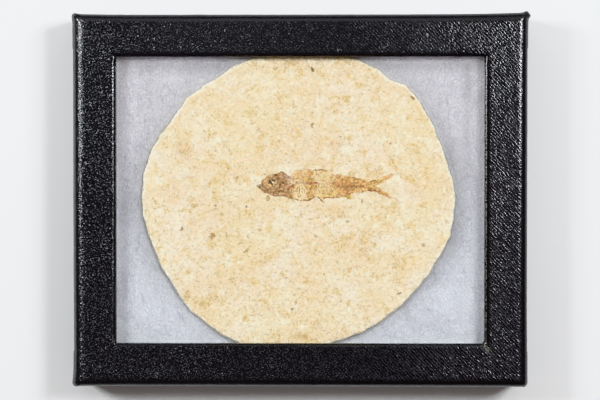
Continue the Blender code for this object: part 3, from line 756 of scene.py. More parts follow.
# ============================================================ tray covering
def tray_wrap():
    nx, ny, nc = 96, 80, 5
    seq = [(TRAY_X - 0.6, TRAY_Y - 0.6, 0.0, 0.6), (TRAY_X - 0.2, TRAY_Y - 0.2, 0.14, 0.8),
           (TRAY_X, TRAY_Y, 0.55, 0.9), (TRAY_X, TRAY_Y, 4.0, 0.9), (TRAY_X, TRAY_Y, 9.0, 0.9),
           (TRAY_X, TRAY_Y, TRAY_RIM - 0.4, 0.9), (TRAY_X - 0.25, TRAY_Y - 0.25, TRAY_RIM - 0.1, 0.8),
           (TRAY_X - 0.8, TRAY_Y - 0.8, TRAY_RIM, 0.7), (TRAY_X - 1.7, TRAY_Y - 1.7, TRAY_RIM, 0.6),
           (TRAY_X - 2.1, TRAY_Y - 2.1, TRAY_RIM - 0.15, 0.5),
           (TRAY_X - 2.28, TRAY_Y - 2.28, TRAY_RIM - 0.5, 0.4),
           (TRAY_X - 2.28, TRAY_Y - 2.28, 10.65, 0.4), (TRAY_X - 2.06, TRAY_Y - 2.06, 10.65, 0.5),
           (TRAY_X - 2.06, TRAY_Y - 2.06, TRAY_RIM - 0.3, 0.5),
           (TRAY_X - 0.25, TRAY_Y - 0.25, TRAY_RIM - 0.35, 0.7),
           (TRAY_X - 0.25, TRAY_Y - 0.25, 0.7, 0.7), (TRAY_X - 0.75, TRAY_Y - 0.75, 0.27, 0.5)]
    P = np.array([rounded_loop(hx, hy, (r,) * 4, z, nx, ny, nc) for hx, hy, z, r in seq])
    rows, cols = P.shape[:2]
    wall = P.reshape(-1, 3)
    quads = grid_quads(rows, cols, False, True)

    def sheet(loop, z, flip, first):
        """A triangulated floor inside a loop of points already numbered."""
        step = 1.35
        gx = np.arange(-TRAY_X + 1.6, TRAY_X - 1.6 + 1e-6, step)
        gy = np.arange(-TRAY_Y + 1.6, TRAY_Y - 1.6 + 1e-6, step)
        X, Y = np.meshgrid(gx, gy)
        X[::2] += 0.3
        inner = np.column_stack([X.ravel(), Y.ravel()])
        every = np.vstack([loop[:, :2], inner])
        count = len(loop)
        out = delaunay_2d_cdt([Vector(p) for p in every], [(i, (i + 1) % count) for i in range(count)],
                              [], 1, 1e-7)
        tris = np.array([f for f in out[2]])
        back = np.array([o[0] for o in out[3]])
        tris = back[tris]
        area = np.cross(every[tris[:, 1]] - every[tris[:, 0]], every[tris[:, 2]] - every[tris[:, 0]])
        tris[area < 0] = tris[area < 0][:, ::-1]
        tris = tris[np.abs(area) > 1e-9]
        if flip:
            tris = tris[:, ::-1]
        return inner, tris

    inner, tris = sheet(P[0], 0.0, True, 0)
    x, y = inner.T
    margin = np.minimum(TRAY_X - np.abs(x), TRAY_Y - np.abs(y))
    mitre = np.abs(np.abs(x) - np.abs(y) - (TRAY_X - TRAY_Y)) / math.sqrt(2)
    rise = 0.22 * smooth(13.5, 14.9, margin) + 0.10 * np.exp(-(mitre / 0.7) ** 2) * (margin < 14)
    rise = rise + 0.05 * (0.5 + 0.5 * fbm(flat3(x, y), 0.12, 3, 3)) * smooth(2.0, 6.0, margin)
    low = np.column_stack([x, y, rise])
    inner2, tris2 = sheet(P[-1], 0.3, False, 0)
    # the upper face of the sheet keeps clear of the board above it
    high = np.column_stack([inner2, np.full(len(inner2), 0.38)])
    low[:, 2] = np.minimum(low[:, 2], 0.33)
    n0, n1 = len(wall), len(wall) + len(low)
    count = cols

    def renumber(t, ring_start, grid_start):
        return np.where(t < count, t + ring_start, t - count + grid_start)

    obj = build_mesh("tray_wrap", np.vstack([wall, low, high]),
                     [quads, renumber(tris, 0, n0), renumber(tris2, (rows - 1) * cols, n1)])
    return finish_piece(obj, LEATHER_TRAY, "leatherette", "tray_cover")


tray_wrap()


# ============================================================ the stone
CORNERS = (
    (-54.0, 1.0), (-53.5, 9.5), (-50.5, 18.0), (-47.5, 23.0), (-41.5, 31.0),
    (-38.5, 35.5), (-33.0, 39.5), (-27.0, 43.0), (-23.0, 46.0), (-16.0, 49.0),
    (-8.5, 51.0), (0.5, 51.7), (8.0, 51.2), (14.0, 50.4), (20.0, 48.5),
    (27.0, 45.0), (31.0, 41.5), (36.0, 39.8), (38.5, 37.2), (41.5, 33.5),
    (46.0, 25.5), (48.5, 18.5), (50.5, 13.0), (52.5, 7.0), (53.3, 1.0),
    (52.5, -6.0), (51.5, -12.0), (48.0, -18.5), (44.5, -24.5), (40.0, -30.0),
    (34.5, -36.0), (27.5, -41.5), (21.5, -45.0), (14.5, -47.6), (8.5, -49.2),
    (1.0, -50.8), (-7.0, -51.2), (-15.0, -50.3), (-21.0, -48.6),
    (-27.5, -45.5), (-32.0, -41.8), (-37.5, -37.5), (-41.0, -32.8),
    (-44.5, -27.0), (-47.5, -22.5), (-49.5, -17.0), (-51.5, -12.0),
    (-53.5, -5.5),
)


def outline_radius(theta):
    """Distance from the middle to the stone's edge, along each angle."""
    pts = np.array(CORNERS[::-1]) + (0.0, -0.36)
    ang = np.arctan2(pts[:, 1], pts[:, 0])
    order = np.argsort(ang)
    pts, ang = pts[order], ang[order]
    pts = np.vstack([pts[-1], pts, pts[0]])
    ang = np.concatenate([[ang[-1] - 2 * math.pi], ang, [ang[0] + 2 * math.pi]])
    th = (np.asarray(theta) + math.pi) % (2 * math.pi) - math.pi
    k = np.clip(np.searchsorted(ang, th, side="right") - 1, 0, len(ang) - 2)
    A, B = pts[k], pts[k + 1]
    d = np.column_stack([np.cos(th), np.sin(th)])
    e = B - A
    den = d[:, 0] * e[:, 1] - d[:, 1] * e[:, 0]
    r = (A[:, 0] * e[:, 1] - A[:, 1] * e[:, 0]) / den
    # each flake between two corners has bitten slightly inward, with small nicks
    t = ((r[:, None] * d - A) * e).sum(1) / (e ** 2).sum(1)
    bite = np.sqrt((e ** 2).sum(1)) * 0.016 * np.sin(math.pi * np.clip(t, 0, 1))
    p = np.column_stack([r * d[:, 0], r * d[:, 1], 0 * r])
    nick = 0.16 * fbm(p, 0.55, 3, 71) + 0.10 * noise(p, 1.3, 72)
    return r - bite + nick


# ------------------------------------------------------------ the fish's drawing
BACK = [(-14.3, 4.7), (-13.3, 6.2), (-12.2, 7.7), (-10.9, 8.7), (-9.4, 8.9), (-7.6, 9.25),
        (-6.2, 9.75), (-4.8, 9.1), (-3.6, 8.3), (-2.6, 8.9), (-1.6, 9.8), (0.6, 10.15),
        (3.0, 10.2), (5.4, 10.3), (9.5, 10.15), (11.0, 9.6), (12.7, 8.85), (15.2, 8.5),
        (17.8, 8.2), (20.2, 7.5), (22.9, 7.0), (24.5, 6.95), (26.3, 7.1), (28.7, 8.1),
        (30.6, 8.85), (33.4, 9.5)]
TAIL = [(32.0, 8.2), (29.5, 6.9), (27.4, 6.0), (26.2, 5.0), (27.2, 4.1), (29.2, 3.1),
        (31.2, 1.8), (33.0, 0.1)]
BELLY = [(30.7, 0.75), (28.9, 1.6), (27.2, 2.5), (25.2, 3.15), (23.4, 3.05), (21.8, 2.75),
         (19.6, 2.45), (17.8, 2.1), (17.5, 0.6), (15.9, 0.9), (13.7, 0.9), (10.6, 0.7),
         (8.2, 0.55), (6.7, 0.9), (5.3, 1.2), (3.8, 0.25), (2.4, -0.35), (0.6, -0.2),
         (-1.2, 0.1), (-3.0, 0.5), (-4.8, 1.1), (-6.4, 1.4), (-8.7, 1.25), (-10.0, 1.8),
         (-11.0, 2.4), (-12.3, 2.7), (-13.5, 3.5)]
FISH = np.array(BACK + TAIL + BELLY)
SPINE = np.array([(-3.0, 6.2), (0.0, 6.15), (2.0, 5.85), (5.6, 5.75), (8.4, 5.6), (12.1, 5.25),
                  (15.6, 4.9), (18.3, 4.95), (21.8, 4.95), (23.4, 5.0)])


def inside_distance(P, poly):
    """Signed distance to a closed outline, positive inside."""
    best = np.full(len(P), 1e9)
    odd = np.zeros(len(P), bool)
    for a, b in zip(poly, np.roll(poly, -1, 0)):
        e = b - a
        t = np.clip(((P - a) @ e) / (e @ e), 0, 1)
        best = np.minimum(best, np.hypot(*(P - a - t[:, None] * e).T))
        crosses = (a[1] > P[:, 1]) != (b[1] > P[:, 1])
        with np.errstate(divide="ignore", invalid="ignore"):
            at = (b[0] - a[0]) * (P[:, 1] - a[1]) / (b[1] - a[1]) + a[0]
        odd ^= crosses & (P[:, 0] < at)
    return np.where(odd, best, -best)


def along_line(P, pts):
    """Distance to an open line, and how far along it the nearest point is, 0 to 1."""
    pts = np.asarray(pts, float)
    seg = np.hypot(*np.diff(pts, axis=0).T)
    start = np.concatenate([[0], np.cumsum(seg)])
    best = np.full(len(P), 1e9)
    where = np.zeros(len(P))
    for k, (a, b) in enumerate(zip(pts, pts[1:])):
        e = b - a
        t = np.clip(((P - a) @ e) / (e @ e), 0, 1)
        d = np.hypot(*(P - a - t[:, None] * e).T)
        near = d < best
        best[near] = d[near]
        where[near] = (start[k] + t[near] * seg[k]) / start[-1]
    return best, where


def stroke(P, pts, w0, w1=None, soft=0.6):
    """A drawn line: 1 on it, 0 beyond its width, which runs from w0 to w1."""
    d, t = along_line(P, pts)
    w = w0 + ((w0 if w1 is None else w1) - w0) * t
    return 1 - smooth(w * (1 - soft), w * (1 + soft), d)


def blob(P, x, y, rx, ry, turn=0.0, soft=0.45):
    c, s = math.cos(math.radians(turn)), math.sin(math.radians(turn))
    dx, dy = P[:, 0] - x, P[:, 1] - y
    d = np.hypot((c * dx + s * dy) / rx, (-s * dx + c * dy) / ry)
    return 1 - smooth(1 - soft, 1 + soft, d)


def fish_drawing(P):
    """Height in millimetres, colour and cover of the fossil at points on the stone."""
    n = len(P)
    p3 = flat3(P[:, 0], P[:, 1])
    wob = np.column_stack([noise(p3, 0.9, 101), noise(p3, 0.9, 102)]) * 0.18 \
        + np.column_stack([noise(p3, 2.2, 103), noise(p3, 2.2, 104)]) * 0.13
    Q = P + wob
    P = P + 0.75 * wob
    rng = np.random.default_rng(31)
    d = inside_distance(Q, FISH)
    x, y = Q.T
    rgb = np.tile(np.array(lin(228, 200, 150, STONE_GAIN)), (n, 1))
    cover = np.zeros(n)
    height = np.zeros(n)
    speck = 0.5 + 0.5 * noise(p3, 1.9, 111)
    mottle = 0.5 + 0.5 * fbm(p3, 0.9, 3, 115)
    fine = 0.5 + 0.5 * noise(p3, 3.3, 119)
    crumble = np.clip(0.52 + 0.80 * (0.5 + 0.5 * noise(p3, 0.95, 131)) + 0.30 * noise(p3, 1.9, 133),
                      0.22, 1.20)

    # the head's bone is darkest; the stain thins out towards the tail
    t = smooth(-4.0, -1.0, x)[:, None]
    tint = np.array((0.84, 0.75, 0.66)) * (1 - t) + np.array((0.93, 0.84, 0.70)) * t
    t = smooth(21.0, 25.0, x)[:, None]
    tint = tint * (1 - t) + np.array((1.0, 0.95, 0.88)) * t

    def line(at, pts, w0, w1=None, soft=0.6):
        """A drawn line that is crumbled away in places."""
        return stroke(at, pts, w0, w1, soft) * crumble

    def lay(mask, colour, amount=1.0, raise_mm=0.0, rough=0.30):
        nonlocal rgb, cover, height
        m = np.clip(mask * amount * (1 - rough + 2 * rough * mottle), 0, 1)
        c = np.array(lin(*colour, STONE_GAIN)) * tint
        keep = cover * (1 - m)
        total = np.maximum(keep + m, 1e-6)
        rgb = (rgb * keep[:, None] + c * m[:, None]) / total[:, None]
        rgb = np.where((m > 1e-4)[:, None], rgb, rgb)
        cover = 1 - (1 - cover) * (1 - m)
        height = height + raise_mm * mask

    inside = smooth(-0.12, 0.35, d)
    body = inside * smooth(-4.5, -1.5, x) * (1 - smooth(22.5, 25.0, x))
    head = inside * (1 - smooth(-4.4, -2.4, x + 0.25 * (y - 5)))

    # ---- body: pale behind the head and along the middle, stained towards the tail
    rear = smooth(8.2, 13.0, x - 0.35 * np.abs(y - 5.0)) * body
    lay(body * (1 - rear), (232, 206, 152), 0.62, 0.10)
    lay(rear, (212, 167, 104), 0.80, 0.12)
    lay(rear * smooth(6.0, 7.8, y) * mottle, (218, 172, 108), 0.6)
    lay(blob(Q, 16.2, 2.7, 2.2, 0.8, -4), (190, 132, 92), 0.75)
    lay(rear * smooth(0.58, 0.80, speck), (178, 130, 76), 0.42)
    lay(blob(Q, 14.9, 4.9, 2.6, 2.1), (188, 134, 78), 0.55)
    lay(blob(Q, 19.2, 5.4, 3.2, 1.7), (196, 146, 90), 0.30)
    lay(rear * smooth(0.70, 0.90, fine) * (y < 4.6), (236, 196, 150), 0.55)
    # shoulder and the stained patch along the first vertebrae
    lay(blob(Q, -0.8, 8.6, 2.5, 1.6, 10), (222, 184, 136), 0.75, 0.06)
    lay(blob(Q, 3.4, 7.0, 2.4, 0.85, -6), (207, 172, 98), 0.85, 0.04)
    lay(blob(Q, 3.6, 4.4, 3.3, 0.85, 3), (205, 170, 92), 0.85, 0.04)
    lay(blob(Q, 3.6, 9.1, 1.1, 0.8, 20), (208, 152, 92), 0.8, 0.04)
    lay(blob(Q, 3.55, 1.4, 1.05, 1.55, -6), (206, 163, 110), 0.8, 0.05)
    lay(blob(Q, 9.0, 2.2, 1.2, 1.3, 0), (222, 178, 122), 0.6)
    lay(blob(Q, 7.2, 8.2, 1.7, 1.0, 0), (242, 226, 186), 0.7)
    lay(blob(Q, 12.6, 2.6, 2.4, 1.0, 8), (226, 188, 122), 0.55)
    lay(blob(Q, 17.0, 1.2, 0.75, 0.8, 0), (205, 178, 86), 0.85, 0.05)
    for bx, by, ba, bb, tilt, colour, much in (
            (1.4, 7.6, 1.5, 0.6, 25, (208, 160, 98), 0.55), (5.9, 8.6, 1.3, 0.7, -10, (232, 204, 172), 0.8),
            (8.3, 7.0, 1.2, 0.6, 20, (216, 176, 116), 0.5), (11.0, 7.4, 1.0, 0.9, 0, (222, 186, 124), 0.6),
            (8.9, 4.2, 1.2, 0.5, -35, (206, 160, 98), 0.6), (11.2, 3.8, 0.9, 0.5, -30, (206, 158, 98), 0.55),
            (4.9, 2.4, 0.8, 1.4, -20, (214, 172, 112), 0.55), (10.1, 5.9, 1.6, 0.35, 0, (198, 150, 90), 0.6),
            (6.6, 3.3, 0.6, 0.9, 10, (246, 230, 190), 0.7), (12.4, 5.9, 0.9, 0.5, 15, (190, 140, 84), 0.6),
            (20.4, 6.3, 1.6, 0.5, -8, (204, 158, 98), 0.5), (18.6, 3.1, 1.4, 0.5, 10, (224, 184, 124), 0.6)):
        lay(blob(Q, bx, by, ba, bb, tilt), colour, much, 0.02, 0.4)
    # belly: cream between thin ribs
    belly = blob(Q, -0.1, 2.5, 2.6, 2.3, -18, 0.75) * inside * smooth(-3.9, -2.6, x)
    lay(belly, (248, 236, 202), 0.75)
    lay(blob(Q, -1.9, 3.9, 1.1, 1.5, 25, 0.6) * inside, (214, 176, 118), 0.5)
    lay(blob(Q, 2.9, 2.6, 0.9, 1.9, -28, 0.6) * inside, (204, 160, 104), 0.75)
    lay(body * (y < 4.6) * (x > 6.3) * (x < 12.5), (234, 208, 150), 0.55)

    # ---- backbone: a row of short drums
    ds, ts = along_line(Q, SPINE)
    length = 26.6
    drum = 0.5 + 0.5 * np.cos(2 * math.pi * ts * length / 0.92)
    column = 1 - smooth(0.28, 0.62, ds)
    height += column * (0.06 + 0.06 * drum) * inside
    lay(column * smooth(-2.6, 0.0, x) * (1 - smooth(1.2, 2.2, x)), (166, 124, 96), 0.45)
    patch = blob(Q, 4.1, 5.85, 2.3, 0.55, -2, 0.35)
    lay(patch, (184, 128, 98), 0.95, 0.05, 0.15)
    lay(patch * (1 - drum), (164, 108, 82), 0.5)
    lay(blob(Q, 5.65, 5.95, 0.42, 0.34), (138, 96, 52), 0.9, 0.05)
    lay(column * (x > 7.2) * (x < 22.5), (180, 132, 82), 0.30, 0.0, 0.5)
    lay(column * (x > 11.5) * (x < 22.0) * smooth(0.45, 0.8, drum), (158, 116, 74), 0.34)
    for sx, sy, r in ((16.1, 3.9, .34), (16.95, 3.75, .36), (18.5, 5.1, .38), (19.4, 4.6, .42),
                      (19.5, 5.9, .30), (20.9, 5.0, .30), (21.9, 5.15, .36), (14.6, 4.6, .3)):
        lay(blob(Q, sx, sy, r, r * 0.8, 20), (150, 116, 78), 0.75, 0.04)

    # ---- ribs before, thin spines behind
    chest = smooth(-3.9, -2.9, x) * (1 - smooth(2.2, 3.6, x)) * inside
    for k in range(7):
        x0 = -2.7 + 0.92 * k + rng.normal(0, 0.16)
        bow = 0.55 - 0.16 * k
        run = [(x0 + 0.25 * (3 - k) * 0.4, 5.1 - 0.08 * k), (x0 - 0.30 * bow, 3.6), (x0 + 0.15, 2.2),
               (x0 + 0.75 - 0.05 * k, 0.9 + 0.4 * rng.random())]
        tan = stroke(Q, run, 0.22, 0.13) * chest * (0.45 + 0.55 * np.clip(crumble, 0, 1))
        lay(tan, (192, 148, 92), rng.uniform(0.60, 1.0), 0.08)
        run = [(q[0] + 0.45, q[1] - 0.25) for q in run]
        pale = stroke(Q, run, 0.24, 0.12) * chest * (0.35 + 0.65 * np.clip(crumble, 0, 1))
        lay(pale * (1 < k < 6), (254, 246, 224), 0.9, 0.03)
    for k in range(6):
        x0 = 3.9 + 0.85 * k + rng.normal(0, 0.1)
        run = [(x0, 5.5), (x0 + 0.5, 4.3), (x0 + 1.1, 3.1), (x0 + 1.4, 1.9 + 0.8 * rng.random())]
        lay(line(Q, run, 0.17, 0.10) * inside, (190, 148, 92), 0.55 * rng.uniform(0.5, 1.1), 0.06)
    for k in range(17):
        x0 = 8.6 + 0.82 * k
        sy = np.interp(x0, SPINE[:, 0], SPINE[:, 1])
        lean = 1.25
        lowest = 1.5 + 1.0 * smooth(16, 22, x0)
        lean = lean * rng.uniform(0.8, 1.2)
        lowest = lowest + rng.uniform(0.0, 0.9)
        m = line(Q, [(x0, sy - 0.3), (x0 + 0.5 * lean, sy - 1.5), (x0 + lean, lowest)], 0.12, 0.07)
        lay(m * inside, (172, 128, 76), 0.55 * rng.uniform(0.3, 1.0), 0.05)
        highest = 8.1 - 1.0 * smooth(16, 22, x0)
        highest = highest - rng.uniform(0.0, 0.9)
        m = line(Q, [(x0, sy + 0.3), (x0 + 0.5 * lean, sy + 1.4), (x0 + lean, highest)], 0.12, 0.07)
        lay(m * inside, (176, 132, 78), 0.50 * rng.uniform(0.3, 1.0), 0.05)
    for k in range(11):
        x0 = -1.6 + 0.95 * k
        m = line(Q, [(x0, 6.5), (x0 + 0.55, 7.9), (x0 + 0.9, 9.2)], 0.10, 0.06)
        lay(m * inside, (186, 146, 92), 0.34, 0.05)

    # ---- fins
    lay(line(P, [(-2.3, 9.7), (-1.2, 10.15), (0.2, 10.25)], 0.30, 0.2), (208, 180, 132), 0.7)
    lay(blob(P, 0.65, 10.3, 0.32, 0.2), (170, 144, 104), 0.7)
    lay(line(P, [(2.5, 10.25), (3.6, 10.35), (4.9, 10.15)], 0.30, 0.24), (186, 148, 98), 0.7, 0.05)
    lay(line(P, [(5.3, 10.5), (7.2, 10.45), (9.6, 10.15)], 0.24, 0.20), (158, 118, 66), 0.95, 0.12)
    lay(line(P, [(9.6, 10.2), (10.9, 10.35), (11.6, 10.2)], 0.24, 0.12), (200, 166, 112), 0.7, 0.05)
    for k in range(9):
        x0 = 5.6 + 0.55 * k
        lay(line(P, [(x0, 10.4), (x0 + 0.5, 9.4), (x0 + 0.7, 8.7)], 0.10, 0.05), (196, 160, 104),
            0.45, 0.06)
    lay(line(P, [(8.2, 0.8), (10.6, 0.95), (12.3, 0.85), (13.7, 1.05)], 0.26, 0.22),
        (176, 140, 98), 0.85, 0.10)
    lay(blob(P, 8.55, 0.85, 0.7, 0.32, -4), (182, 126, 64), 0.9, 0.05)
    lay(line(P, [(6.65, 0.95), (7.2, 0.3), (7.75, -0.35)], 0.24, 0.20), (134, 110, 60), 0.95, 0.12)
    lay(line(P, [(7.75, -0.3), (8.2, -0.7), (8.5, -1.1)], 0.14, 0.06), (188, 162, 112), 0.6, 0.04)
    lay(line(P, [(8.1, -0.1), (8.6, -0.5), (8.9, -1.0)], 0.16, 0.06), (204, 176, 124), 0.5, 0.04)
    lay(line(P, [(1.5, 0.15), (2.5, -0.12), (3.8, 0.45), (5.35, 1.35)], 0.28, 0.20),
        (146, 112, 66), 0.92, 0.10)
    lay(blob(P, -0.75, 0.25, 0.42, 0.34, 30), (146, 120, 70), 0.8, 0.05)
    lay(blob(P, 0.5, 0.1, 0.4, 0.28, 0), (166, 136, 88), 0.75, 0.05)
    lay(line(P, [(14.4, 1.4), (15.8, 1.5), (17.4, 0.6)], 0.26, 0.2), (196, 160, 92), 0.7, 0.06)
    for k in range(7):
        x0 = 14.9 + 0.45 * k
        lay(line(P, [(x0, 2.2), (x0 + 0.35, 1.3), (x0 + 0.45, 0.7)], 0.09, 0.05), (190, 150, 80),
            0.45, 0.05)
    # outline of the back and the wrist of the tail
    lay(line(P, [(12.6, 8.85), (15.2, 8.5), (17.7, 8.25)], 0.20), (192, 150, 92), 0.6, 0.05)
    lay(line(P, [(18.1, 7.95), (20.2, 7.3)], 0.20, 0.22), (156, 140, 104), 0.7, 0.05)
    lay(line(P, [(20.9, 7.35), (22.9, 7.05)], 0.34, 0.26), (196, 154, 96), 0.7, 0.06)

    # ---- tail fin
    upper = inside_distance(Q, np.array([(22.6, 5.4), (23.8, 6.9), (26.2, 7.15), (28.8, 8.15),
                                         (31.4, 9.0), (33.6, 9.6), (31.2, 7.4), (28.6, 6.0),
                                         (26.0, 5.0)]))
    lower = inside_distance(Q, np.array([(22.6, 4.9), (26.0, 4.7), (28.8, 3.4), (31.2, 2.0),
                                         (33.3, 0.0), (30.6, 0.7), (28.7, 1.6), (26.8, 2.6),
                                         (24.8, 3.1), (23.0, 3.3)]))
    fade = 1 - 0.55 * smooth(26.0, 33.0, x)
    lay(smooth(-0.2, 0.3, upper) * fade, (222, 188, 126), 0.85, 0.08)
    lay(smooth(-0.2, 0.3, lower) * fade, (216, 180, 118), 0.85, 0.08)
    for k in range(11):
        s = k / 10
        end = (27.0 + 6.0 * (1 - s) ** 0.8, 5.6 + 3.8 * (1 - s))
        lay(line(P, [(23.2, 5.35), ((23.2 + end[0]) / 2, 5.2 + 0.42 * (end[1] - 5.0)), end], 0.09, 0.05),
            (176, 132, 78), 0.40, 0.05)
        end = (27.0 + 5.8 * (1 - s) ** 0.8, 4.6 - 4.3 * (1 - s))
        lay(line(P, [(23.2, 4.7), ((23.2 + end[0]) / 2, 4.7 - 0.42 * (4.7 - end[1])), end], 0.09, 0.05),
            (176, 128, 74), 0.40, 0.05)
    lay(line(P, [(22.9, 5.45), (23.9, 6.15), (24.8, 6.6), (26.2, 6.85)], 0.34, 0.30), (150, 110, 68), 0.9, 0.14)
    lay(line(P, [(26.2, 6.85), (28.0, 6.95)], 0.30, 0.34), (200, 172, 104), 0.8, 0.06)
    lay(blob(P, 29.9, 7.95, 1.5, 0.62, 20), (212, 156, 96), 0.85, 0.06)
    lay(line(P, [(28.7, 8.0), (30.4, 8.75), (32.0, 8.95)], 0.20, 0.12), (190, 152, 104), 0.6, 0.05)
    lay(line(P, [(32.0, 9.0), (33.5, 9.5)], 0.20, 0.08), (216, 184, 136), 0.5, 0.03)
    lay(line(P, [(22.0, 4.6), (23.4, 4.15), (24.4, 3.95)], 0.24, 0.26), (160, 118, 72), 0.85, 0.10)
    lay(line(P, [(23.5, 3.5), (24.4, 3.3), (25.6, 3.75), (27.2, 2.8), (28.9, 1.95), (30.8, 0.95)],
               0.34, 0.22), (158, 110, 66), 0.9, 0.13)
    lay(blob(P, 24.35, 3.35, 0.62, 0.34, -8), (138, 84, 48), 0.9, 0.05)
    lay(blob(P, 28.7, 2.45, 1.5, 0.55, -28), (214, 160, 92), 0.8, 0.05)
    lay(line(P, [(30.8, 1.0), (33.2, 0.15)], 0.20, 0.08), (206, 176, 130), 0.5, 0.03)
    lay(blob(P, 24.6, 5.0, 1.1, 0.6), (218, 178, 102), 0.75, 0.04)

    # ---- head: thick skull and gill plates
    dome = np.sqrt(np.clip(head * smooth(-0.2, 2.6, d), 0, 1))
    height += 0.20 * dome * head
    lay(head, (186, 148, 104), 0.95, 0.06)
    lay(head * smooth(-9.0, -12.2, x) * smooth(4.0, 7.5, y), (222, 190, 136), 0.7)
    lay(head * (1 - smooth(0.2, 1.1, d)), (172, 138, 96), 0.5)
    lay(head * (y > 8.2) * (x < -8.8), (226, 198, 146), 0.8)
    lay(blob(P, -11.9, 8.9, 0.36, 0.42), (150, 128, 82), 0.75, 0.05)
    lay(blob(P, -10.6, 9.4, 2.2, 0.4, 14), (228, 204, 150), 0.5)
    for pts, w, c, a in (
        ([(-9.6, 8.25), (-8.2, 8.7), (-7.1, 9.1)], 0.26, (164, 120, 68), 0.9),
        ([(-7.1, 9.15), (-6.2, 9.75), (-5.4, 9.35)], 0.24, (140, 110, 66), 0.85),
        ([(-5.4, 9.35), (-4.7, 8.95), (-3.7, 8.35), (-2.9, 7.6)], 0.24, (150, 122, 82), 0.75),
        ([(-14.4, 4.85), (-13.7, 4.35), (-13.0, 3.7)], 0.30, (134, 116, 74), 0.9),
        ([(-13.3, 6.2), (-12.6, 6.5), (-11.8, 6.4)], 0.22, (166, 130, 80), 0.75),
        ([(-11.9, 4.5), (-11.4, 3.9), (-11.0, 3.3)], 0.36, (150, 112, 92), 0.85),
        ([(-10.9, 6.7), (-10.7, 5.6), (-10.4, 4.6), (-9.8, 3.9)], 0.22, (178, 136, 82), 0.6),
        ([(-9.9, 2.9), (-9.0, 2.75), (-8.0, 3.2), (-7.1, 3.1), (-6.0, 3.2)], 0.30, (148, 106, 66), 0.9),
        ([(-6.0, 3.2), (-5.2, 3.6), (-4.6, 4.4)], 0.22, (162, 122, 80), 0.6),
        ([(-8.6, 1.75), (-7.2, 1.65), (-6.2, 1.65), (-5.0, 1.45)], 0.26, (152, 114, 74), 0.85),
        ([(-3.9, 4.0), (-3.1, 4.6), (-2.3, 5.3)], 0.34, (152, 92, 44), 0.95),
        ([(-5.2, 6.6), (-4.4, 7.0), (-3.6, 6.6), (-3.2, 5.8)], 0.24, (164, 118, 78), 0.75),
        ([(-7.0, 7.2), (-6.9, 5.6), (-6.6, 4.2)], 0.20, (176, 138, 98), 0.6),
        ([(-3.0, 7.6), (-2.9, 6.6), (-3.2, 5.9)], 0.22, (156, 114, 78), 0.7),
        ([(-12.0, 2.9), (-10.8, 2.4), (-9.9, 1.9)], 0.24, (172, 136, 96), 0.7),
    ):
        lay(line(P, pts, w, w * 0.8), c, a, 0.07)
    lay(blob(P, -3.75, 7.75, 0.75, 0.8, 60), (178, 148, 130), 0.75)
    lay(blob(P, -3.75, 3.9, 0.5, 0.55), (170, 98, 48), 0.7, 0.02)
    lay(blob(P, -9.9, 7.7, 0.7, 0.4, 10), (206, 152, 116), 0.6)
    lay(blob(P, -6.2, 7.6, 1.0, 1.0), (200, 162, 112), 0.5)
    lay(blob(P, -8.0, 1.95, 1.6, 0.45, -6), (204, 168, 130), 0.6, 0.03)
    lay(line(P, [(-2.9, 5.9), (-2.1, 5.4), (-1.2, 6.0)], 0.22, 0.2), (150, 108, 82), 0.6, 0.06)
    lay(blob(P, -1.1, 6.25, 0.34, 0.34), (124, 90, 66), 0.75, 0.04)
    lay(line(P, [(-3.4, 2.6), (-2.8, 1.4), (-2.5, 0.3), (-2.2, -0.6)], 0.30, 0.12), (188, 150, 96), 0.7, 0.06)
    lay(line(P, [(-3.2, 1.6), (-2.0, 0.6), (-0.9, 0.2)], 0.24, 0.2), (184, 146, 92), 0.6, 0.06)
    lay(line(P, [(-4.6, 1.4), (-3.6, 0.8), (-2.9, 0.5)], 0.24, 0.2), (190, 150, 100), 0.6, 0.05)
    # eye
    ex, ey = -9.35, 6.15
    re = re_eye = np.hypot(P[:, 0] - ex, P[:, 1] - ey)
    height += -0.16 * (1 - smooth(0.5, 1.0, re)) + 0.09 * np.exp(-((re - 1.25) / 0.28) ** 2)
    lay(1 - smooth(0.95, 1.5, re), (212, 184, 140), 0.75)
    lay(stroke(P, [(-10.3, 6.7), (-10.15, 6.15), (-9.65, 5.75)], 0.42, 0.36), (72, 54, 26), 1.0, 0.0, 0.0)
    lay(blob(P, -8.95, 6.78, 0.52, 0.38, -20), (72, 56, 28), 1.0, 0.0, 0.0)
    lay(blob(P, -9.35, 5.4, 0.32, 0.34), (84, 70, 36), 0.95, 0.0, 0.0)
    lay(blob(P, -9.15, 6.1, 0.40, 0.44, 30), (252, 240, 206), 1.0, 0.05, 0.0)
    lay(blob(P, -8.1, 6.0, 0.62, 0.30, 32), (238, 210, 164), 0.85)
    lay(blob(P, -10.4, 5.4, 0.55, 0.3, -10), (238, 216, 168), 0.7)
    lay(blob(P, -5.6, 5.85, 0.52, 0.42, -35), (84, 54, 26), 1.0, -0.04, 0.0)
    lay(stroke(P, [(-5.5, 5.6), (-5.2, 5.3)], 0.26, 0.12), (132, 94, 52), 0.7)
    # a loose scale below the jaw
    re = np.hypot((P[:, 0] + 10.9) / 0.62, (P[:, 1] - 0.7) / 1.0)
    lay(1 - smooth(0.7, 1.25, re), (214, 190, 138), 0.75, 0.06)
    lay(np.exp(-((re - 0.85) / 0.28) ** 2), (176, 152, 104), 0.7, 0.04)
    # faint stains on the stone round the fish
    lay(blob(P, 12.6, -3.6, 4.2, 3.0, 10), (226, 196, 142), 0.35)
    lay(blob(P, 21.4, -0.2, 0.36, 0.8, -8), (206, 176, 124), 0.75)
